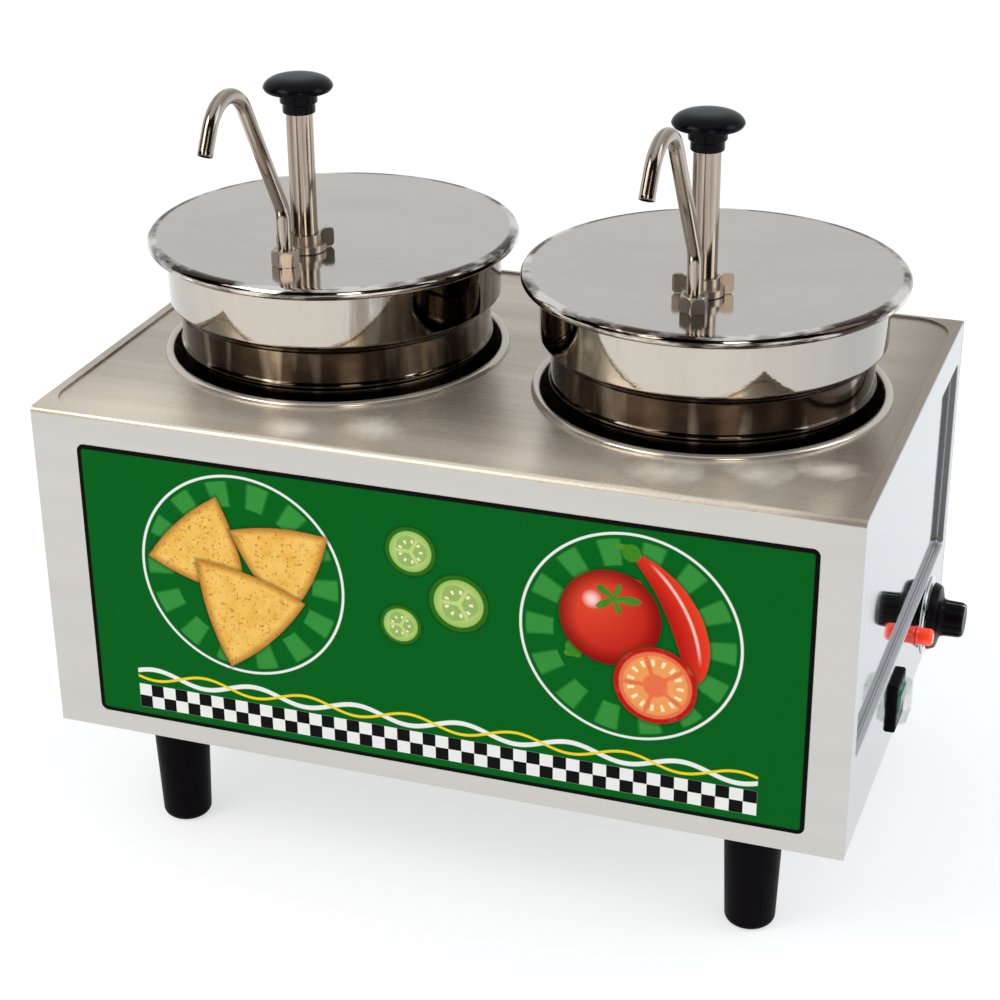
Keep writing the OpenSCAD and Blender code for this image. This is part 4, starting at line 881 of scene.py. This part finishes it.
def makeLamp():
    low, high = boxOf("pilot_lamp_lens")
    centre = np.array([low[0], (low[1] + high[1]) / 2, (low[2] + high[2]) / 2])
    reach = high[0] - low[0]
    flange, r, rib = (lampSize[k] * mm for k in ("flange", "lens", "rib"))
    profile = eased([(0.001, 0), (flange - 0.1 * mm, 0), (flange, 0.9 * mm), (r + 0.2 * mm, 1.6 * mm),
                     (r, 2.2 * mm), (r - 0.1 * mm, reach - 1.8 * mm), (r - 1.8 * mm, reach),
                     (0.001, reach - 0.2 * mm)], 0.8 * mm, 8)

    def ribs(u, h):  # fine axial ribs along the lens: depth = rib (1 + cos 24u) / 2
        return rib * (0.5 + 0.5 * np.cos(24 * u)) * np.clip((h - 2.4 * mm) / mm, 0, 1)

    lens = Finish("redLens", color=(0.85, 0.02, 0.0), roughness=0.16, Coat_Weight=0.5, Coat_Roughness=0.05,
                  Emission_Strength=0.55, Subsurface_Weight=0.15)
    spot, x = lens.place()[:2]
    glow = ((x - float(low[0])) * (1 / reach)).clip()
    mottle = lens.noise(spot, 260.0, 2.0)
    lens.feed(Base_Color=lens.mix(mottle, (0.62, 0.01, 0.0), (0.95, 0.05, 0.01)),
              Emission_Color=lens.mix(glow, (0.35, 0.0, 0.0), (1.0, 0.08, 0.01)))
    piece = turnedSideways("lampLens", profile, centre, ribs, 192, sharp=60)
    stands(piece, "housing", lens, "pilot_lamp_lens")


def makeSwitch():
    low, high = boxOf("switch_bezel")
    centre = (low + high) / 2
    half = ((high[1] - low[1]) / 2, (high[2] - low[2]) / 2)
    t = high[0] - low[0]
    # the bezel's section runs out, over the front and back down its opening
    face = [(0, 0), (0, t - 1.4 * mm), (0.5 * mm, t - 0.4 * mm), (1.4 * mm, t), (4.6 * mm, t),
            (5.6 * mm, t - 0.5 * mm), (6.0 * mm, t - 1.2 * mm), (6.0 * mm, 0)]
    bezel = moulded("switchBezel", half, 2.4 * mm, eased(face, 0.5 * mm), (low[0], centre[1], centre[2]),
                    "x", 128, sharp=50)
    stands(bezel, "housing", blackPlastic, "switch_bezel")
    green = Finish("greenRocker", color=(0.0, 0.30, 0.17), roughness=0.25, Coat_Weight=0.3,
                   Coat_Roughness=0.1, Emission_Strength=0.04)
    spot = green.place()[0]
    mottle = green.noise(spot, 180.0, 3.0)
    tint = green.mix(mottle, (0.0, 0.15, 0.07), (0.005, 0.25, 0.13))
    green.feed(Base_Color=tint, Emission_Color=tint, Roughness=(mottle - 0.5) * 0.15 + 0.28)
    green.bump(green.noise(spot, 700.0), 0.06, 0.0001)
    green.paint(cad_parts["switch_rocker"])
    # clear cover: a thin moulded cap, drawn as one closed wall
    low, high = boxOf("switch_cover")
    centre = (low + high) / 2
    half = ((high[1] - low[1]) / 2, (high[2] - low[2]) / 2)
    t = high[0] - low[0]
    outer = eased([(0, 0), (0, 0.8 * mm), (1.0 * mm, 1.6 * mm), (1.6 * mm, t - 2 * mm), (3.2 * mm, t),
                   (9 * mm, t)], 1.0 * mm)
    inner = eased([(9 * mm, t - 0.8 * mm), (3.6 * mm, t - 0.8 * mm), (2.4 * mm, t - 2.4 * mm),
                   (1.9 * mm, 1.6 * mm), (1.2 * mm, 0)], 0.8 * mm)
    clear = Finish("clearCover", color=(0.34, 0.42, 0.39), roughness=0.08, Alpha=0.3, IOR=1.45)
    spot = clear.place()[0]
    edge = clear.node("ShaderNodeLayerWeight", None, {"Blend": 0.35}, 1)
    scuff = clear.noise(spot, 120.0, 4.0)
    clear.feed(Roughness=(scuff - 0.5).clip() * 0.3 + 0.07,
               Alpha=(edge * 0.38 + 0.02 + (scuff - 0.5) * 0.05).clip())
    cover = moulded("switchCover", half, 3.4 * mm, np.vstack([outer, inner]),
                    (low[0], centre[1], centre[2]), "x", 96, sharp=60)
    stands(cover, "housing", clear, "switch_cover")


makeLamp()
makeSwitch()
print("controls made")


# front sign
signColours = {"field": (0.0004, 0.118, 0.010), "line": (0.004, 0.004, 0.004), "white": (0.86, 0.86, 0.83),
               "chip": (0.83, 0.42, 0.055), "chipLight": (0.95, 0.62, 0.17), "toast": (0.42, 0.13, 0.015),
               "red": (0.50, 0.010, 0.006), "redLight": (0.80, 0.07, 0.03), "stem": (0.05, 0.16, 0.012),
               "yellow": (0.90, 0.66, 0.03)}


def signFinish():
    low, high = boxOf("front_sign")
    mid = (low + high) / 2
    halfW, halfH = (high[0] - low[0]) / 2 * 1000, (high[2] - low[2]) / 2 * 1000
    f = Finish("signPrint", color=signColours["field"], Specular_IOR_Level=0.03)
    c = signColours
    spot, x, _, z = f.place()
    px, pz = (x - float(mid[0])) * 1000, (z - float(mid[2])) * 1000

    def edge(distance, soft=0.5):  # 1 inside a shape (distance below zero), 0 outside
        return (0.5 - distance * (1 / soft)).clip()

    def disc(cx, cz, r):
        dx, dz = px - cx, pz - cz
        return (dx * dx + dz * dz).root() - r

    def block(cx, cz, w, h, r=0.0):  # distance to a rounded rectangle
        dx, dz = (px - cx).abs() - (w - r), (pz - cz).abs() - (h - r)
        ax, az = dx.most(0.0), dz.most(0.0)
        return (ax * ax + az * az).root() + dx.most(dz).least(0.0) - r

    def chip(cx, cz, size, turn):  # distance to a triangle with bowed sides
        worst = None
        for k in range(3):
            a = math.radians(turn + 120 * k)
            dx, dz = px - cx, pz - cz
            side = dx * math.cos(a) + dz * math.sin(a)
            along = dz * math.cos(a) - dx * math.sin(a)
            d = side + along * along * (0.16 / size) - size * 0.5
            worst = d if worst is None else worst.most(d)
        return worst.most(disc(cx, cz, size * 0.90))

    def pepper(cx, cz, r, start, sweep, fat):  # distance to a tapering arc, and place along it
        dx, dz = px - cx, pz - cz
        ca, sa = math.cos(math.radians(start)), math.sin(math.radians(start))
        angle = (dz * ca - dx * sa).math("ARCTAN2", dx * ca + dz * sa)
        t = angle * (1 / math.radians(sweep))
        off = (dx * dx + dz * dz).root() - r
        body = off.abs() - (1 - t * t).most(0.0) ** 0.6 * fat * (1.15 - t * 0.35) + (t.abs() > 1) * 9
        return body, t, off

    ink = f.noise(spot, 900.0, 2.0, 0.6)
    fade = f.noise(spot, 4.0, 3.0, 0.5)
    colour = f.mix(ink, tuple(v * 0.86 for v in c["field"]), tuple(v * 1.12 + 0.001 for v in c["field"]))
    colour = f.mix(fade * 0.25, colour, (0.004, 0.12, 0.02))

    # sunburst of pale green rays behind each group
    for cx, cz in ((-133, 21), (131, 21)):
        dx, dz = px - cx, pz - cz
        away = (dx * dx + dz * dz).root()
        rays = ((dz.math("ARCTAN2", dx) * 14.0).cos() * 2.0 + 0.5).clip()
        ring = edge(away - 68, 1.0) * edge(50 - away, 1.0)
        colour = f.mix(rays * ring * 0.85, colour, (0.045, 0.30, 0.05))
        colour = f.mix(edge((away - 71.5).abs() - 0.9), colour, c["white"])

    # left group: three corn chips, each with toasted edges and specks
    toast = f.noise(spot, 130.0, 4.0, 0.6)
    speck = (f.noise(spot, 520.0, 2.0, 0.5) - 0.60) * 14
    for cx, cz, size, turn in ((-160, 36, 50, 14), (-104, 36, 48, -26), (-133, -4, 55, 75)):
        d = chip(cx, cz, size, turn)
        colour = f.mix(edge(d - 1.6, 2.4) * 0.55, colour, (0.002, 0.045, 0.008))
        body = f.mix((toast * 1.8 - 0.4).clip(), c["chip"], c["chipLight"])
        body = f.mix(((d + 5.5) * 0.2).clip() * 0.8, body, c["toast"])
        body = f.mix(speck.clip() * 0.7, body, c["toast"])
        colour = f.mix(edge(d), colour, body)

    # right group: two long peppers behind a whole tomato, with a cut slice in front
    for cx, cz, r, start, sweep, fat in ((82, 2, 92, 27, 31, 9.0), (176, -14, 84, 141, 24, 7.0)):
        d, t, off = pepper(cx, cz, r, start, sweep, fat)
        body = f.mix(((off + fat * 0.9) * (0.5 / fat)).clip(), c["red"], (0.85, 0.05, 0.02))
        gleam = edge((off - fat * 0.30).abs() - 0.9, 1.2) * edge(t.abs() - 0.6, 0.3) * 0.8
        body = f.mix(gleam, body, (1.0, 0.72, 0.62))
        colour = f.mix(edge(d - 1.4, 2.4) * 0.6, colour, (0.002, 0.045, 0.008))
        colour = f.mix(edge(d), colour, body)
        a, b = math.radians(start + sweep * 0.99), math.radians(start + sweep * 1.12)
        stalk = block(cx + r * math.cos(b), cz + r * math.sin(b), 5.5, 2.0, 1.9)
        colour = f.mix(edge(stalk, 0.8), colour, (0.07, 0.28, 0.02))
        hood = disc(cx + r * math.cos(a), cz + r * math.sin(a), 6.0)
        colour = f.mix(edge(hood, 0.8), colour, (0.05, 0.24, 0.015))

    # tomato: darker towards its edge, with one highlight and a star of five leaves
    cx, cz, r = 118, 33, 33
    d = disc(cx, cz, r)
    shine = disc(cx - r * 0.36, cz + r * 0.34, 0.0)
    body = f.mix((shine * (1 / (r * 1.35))).clip(), c["redLight"], c["red"])
    body = f.mix(((d + r * 0.34) * (3.2 / r)).clip() * 0.75, body, (0.16, 0.003, 0.003))
    body = f.mix(edge(shine - r * 0.13, r * 0.16) * 0.75, body, (1.0, 0.86, 0.78))
    colour = f.mix(edge(d - 1.4, 2.4) * 0.6, colour, (0.002, 0.045, 0.008))
    colour = f.mix(edge(d), colour, body)
    dx, dz = px - (cx + r * 0.08), pz - (cz + r * 0.42)
    spin = dz.math("ARCTAN2", dx)
    leaf = (dx * dx + dz * dz * 2.6).root() - ((spin * 5.0).cos() * 0.42 + 0.58) * r * 0.52
    colour = f.mix(edge(leaf, 0.7), colour, f.mix(toast, (0.03, 0.15, 0.01), (0.10, 0.32, 0.03)))

    # slice: pockets of seeds between five spokes round a core
    cx, cz, r = 148, -10, 27
    d = disc(cx, cz, r)
    dx, dz = px - cx, pz - cz
    away, spin = (dx * dx + dz * dz).root(), dz.math("ARCTAN2", dx)
    body = f.mix(edge(r * 0.88 - away, 0.8), (0.83, 0.17, 0.07), c["red"])
    pocket = (r * 0.13 - (spin * 2.5).cos().abs() * away).most((away - r * 0.54).abs() - r * 0.24)
    body = f.mix(edge(pocket, 1.0), body, (0.88, 0.34, 0.10))
    seed = (((spin * 15.0).cos() * -3 + 1.6) * 2).most((away - r * 0.60).abs() - r * 0.085)
    body = f.mix(edge(seed, 0.8) * edge(pocket, 0.8), body, (0.95, 0.82, 0.45))
    body = f.mix(((toast - 0.5) * 0.5).clip(), body, (0.95, 0.55, 0.35))
    colour = f.mix(edge(d - 1.4, 2.4) * 0.6, colour, (0.002, 0.045, 0.008))
    colour = f.mix(edge(d), colour, body)

    # middle: three pepper slices, pale rings with seeds
    for cx, cz, r in ((-14, 58, 17), (18, 26, 20), (-22, 4, 14)):
        d = disc(cx, cz, r)
        dx, dz = px - cx, pz - cz
        spin = dz.math("ARCTAN2", dx)
        away = (dx * dx + dz * dz).root()
        flesh = f.mix(((away - r * 0.5) * (1.8 / r)).clip(), (0.55, 0.66, 0.22), (0.16, 0.42, 0.04))
        body = f.mix(edge(r * 0.84 - away, 0.6), flesh, (0.025, 0.15, 0.01))
        spokes = edge(((spin * 1.5).cos().abs() * away) - r * 0.10, 0.8) * edge(away - r * 0.7, 0.6)
        core = edge(away - r * 0.62 - (spin * 3.0).cos() * r * 0.06, 0.7) * (1 - spokes)
        body = f.mix(core, body, (0.30, 0.46, 0.13))
        ringOfSeeds = edge((away - r * 0.42).abs() - r * 0.07, 0.6)
        seeds = edge(((spin * 9.0).cos() * -1 + 0.55) * 3, 0.6) * ringOfSeeds
        body = f.mix(seeds * core, body, (0.93, 0.86, 0.55))
        colour = f.mix(edge(d - 1.2, 2.2) * 0.6, colour, (0.002, 0.045, 0.008))
        colour = f.mix(edge(d), colour, body)

    # foot of the sign: a white and a yellow wave that cross, over two rows of squares
    wave = (px * 0.085).sin() * 4.2
    colour = f.mix(edge((pz + 66 - wave).abs() - 1.7) * edge(px.abs() - 216, 0.8), colour, c["white"])
    colour = f.mix(edge((pz + 66 + wave).abs() - 1.0) * edge(px.abs() - 216, 0.8), colour, c["yellow"])
    squares = ((px * (math.pi / 9)).sin() * ((pz + 83) * (math.pi / 9)).sin()) > 0.0
    rowMask = edge((pz + 83).abs() - 9.0, 0.4) * edge(px.abs() - 216, 0.4)
    colour = f.mix(rowMask, colour, f.mix(squares, (0.006, 0.006, 0.006), c["white"]))

    # black keyline just inside the film's edge
    rim = block(0.0, 0.0, halfW - 0.4, halfH - 0.4, 4.6)
    key = edge(-2.6 - rim, 0.5)
    colour = f.mix(key, colour, c["line"])
    fine = f.noise(spot, 700.0, 2.0, 0.6)
    f.feed(Base_Color=colour, Roughness=(fade - 0.5) * 0.10 + (fine - 0.5) * 0.08 + 0.42)
    f.bump(fine, 0.10, 0.00005)
    return f


signFinish().paint(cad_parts["front_sign"])
print("sign printed")


# what is seen from below, behind or with the pots lifted out
def paintNodes(finish, *names):
    finish.paint(*(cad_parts[n] for n in names))


dullSteel = grainedSteel("dullSteel", (0.46, 0.47, 0.48), 0.46, (30, 500, 500), 0.3, 0.08, 0.10, 0.08)
darkSteel = grainedSteel("darkSteel", (0.17, 0.155, 0.15), 0.5, (200, 200, 200), 0.4, 0.08, 0.12, 0.2)
paintNodes(dullSteel, "bottom_plate", "casing_screws", "leg_studs", "clamp_left", "clamp_right")
paintNodes(darkSteel, "element_left", "element_right")
paintNodes(pumpSteel, "dial_shaft", "valve_ball_left", "valve_ball_right")
whiteNylon = mouldedPlastic("whiteNylon", (0.74, 0.73, 0.69), 0.42, 0.08)
paintNodes(whiteNylon, "piston_left", "piston_right", "pump_valve_left", "pump_valve_right",
           "pilot_lamp_body")
sealRubber = mouldedPlastic("sealRubber", (0.03, 0.03, 0.03), 0.6, 0.2)
paintNodes(sealRubber, "piston_seal_left", "piston_seal_right")
paintNodes(blackPlastic, "cord_gland", "switch_body")
paintNodes(mouldedPlastic("brownResin", (0.20, 0.08, 0.03), 0.35), "thermostat")
paintNodes(mouldedPlastic("ivoryBlock", (0.70, 0.63, 0.48), 0.4), "terminal_block")
paintNodes(mouldedPlastic("leadSleeving", (0.34, 0.03, 0.02), 0.55, 0.25), "wiring")
paintNodes(polishedSteel("copperTube", (0.80, 0.42, 0.25), 0.25), "capillary")
blanket = Finish("fibreBlanket", color=(0.5, 0.45, 0.32), roughness=0.95)
spot = blanket.place()[0]
fibres = blanket.noise(spot, 160.0, 6.0, 0.7, (1, 1, 3), 1.2)
blanket.feed(Base_Color=blanket.mix(fibres, (0.36, 0.31, 0.20), (0.72, 0.66, 0.50)))
blanket.bump(fibres, 0.8, 0.002)
paintNodes(blanket, "insulation_left", "insulation_right")
print("inner pieces finished")


# studio
def makeStudio():
    floorMesh = bpy.data.meshes.new("studioFloor")
    r = 14.0
    floorMesh.from_pydata([(-r, -r, 0), (r, -r, 0), (r, r, 0), (-r, r, 0)], [], [(0, 1, 2, 3)])
    floor = bpy.data.objects.new("studioFloor", floorMesh)
    bpy.context.collection.objects.link(floor)
    paper = Finish("studioPaper", color=(0.90, 0.90, 0.90), roughness=0.9, Specular_IOR_Level=0.0)
    spot = paper.place()[0]
    rays = paper.tree.nodes.new("ShaderNodeLightPath")
    seen = Wire(paper, rays.outputs["Is Camera Ray"]).most(Wire(paper, rays.outputs["Is Glossy Ray"]))
    seen = seen.most(Wire(paper, rays.outputs["Is Transmission Ray"]))
    grain = paper.noise(spot, 40.0, 3.0)
    paper.feed(Base_Color=paper.mix(grain, (0.88, 0.88, 0.88), (0.92, 0.92, 0.92)))
    glow = paper.node("ShaderNodeEmission", None, {"Color": (1, 1, 1, 1), "Strength": 1.30})
    matt = Wire(paper, paper.shader.outputs[0])
    blend = paper.node("ShaderNodeMixShader", None, {0: seen * 0.45, 1: matt, 2: glow})
    paper.tree.links.new(blend.socket, paper.output.inputs[0])
    paper.paint(floor)

    # what the steel sees: the unlit room behind the camera, with soft windows in it
    # card: points of a sphere, P = R (sin a cos e, -cos a cos e, sin e), over its spans of a and e
    cards = (("darkRoom", (-80, 100), (4, 60), 4.0, (0.022, 0.015, 0.011), 0.0),
             ("softWindowLeft", (-30, -14), (16, 40), 3.8, (1.0, 0.92, 0.80), 2.2),
             ("softWindowMiddle", (22, 36), (16, 40), 3.8, (1.0, 0.92, 0.80), 2.6))
    for name, turn, rise, away, colour, glow in cards:
        a, e = np.meshgrid(np.radians(np.linspace(*turn, 25)), np.radians(np.linspace(*rise, 13)))
        grid = away * np.stack([np.sin(a) * np.cos(e), -np.cos(a) * np.cos(e), np.sin(e)], -1)
        rows, cols = a.shape
        v, u = np.meshgrid(np.arange(rows - 1), np.arange(cols - 1), indexing="ij")
        first = (v * cols + u).ravel()
        card = bpy.data.objects.new(name, bpy.data.meshes.new(name))
        faces = np.stack([first, first + 1, first + cols + 1, first + cols], -1)
        card.data.from_pydata(grid.reshape(-1, 3).tolist(), [], faces.tolist())
        bpy.context.collection.objects.link(card)
        board = Finish(name, color=colour, roughness=1.0, Specular_IOR_Level=0.0, Emission_Strength=glow)
        spread = board.noise(board.place()[0], 1.2, 3.0)
        tone = board.mix(spread, tuple(v * 0.5 for v in colour), tuple(v * 1.5 for v in colour))
        board.feed(Base_Color=tone, Emission_Color=tone)
        board.paint(card)
        card.visible_camera = card.visible_diffuse = card.visible_shadow = False

    world = bpy.data.worlds.new("studioWorld")
    bpy.context.scene.world = world
    world.use_nodes = True
    world.node_tree.nodes["Background"].inputs[0].default_value = (0.96, 0.98, 1.0, 1)
    world.node_tree.nodes["Background"].inputs[1].default_value = 0.80

    def lamp(name, place, size, power, colour):  # a rectangle of light that faces the machine
        data = bpy.data.lights.new(name, "AREA")
        data.shape = "RECTANGLE"
        data.size, data.size_y = size
        data.energy, data.color = power, colour
        thing = bpy.data.objects.new(name, data)
        aim = (Vector((0, 0, 0.25)) - Vector(place)).to_track_quat("-Z", "Y")
        thing.matrix_world = Matrix.Translation(place) @ aim.to_matrix().to_4x4()
        bpy.context.collection.objects.link(thing)

    lamp("keyLamp", (-1.3, -1.5, 2.1), (1.2, 1.2), 22, (1.0, 0.98, 0.95))
    lamp("fillLamp", (1.9, 0.2, 1.5), (1.0, 1.4), 12, (0.90, 0.95, 1.0))


makeStudio()
scene = bpy.context.scene
scene.view_settings.view_transform = "Standard"
print("studio set")
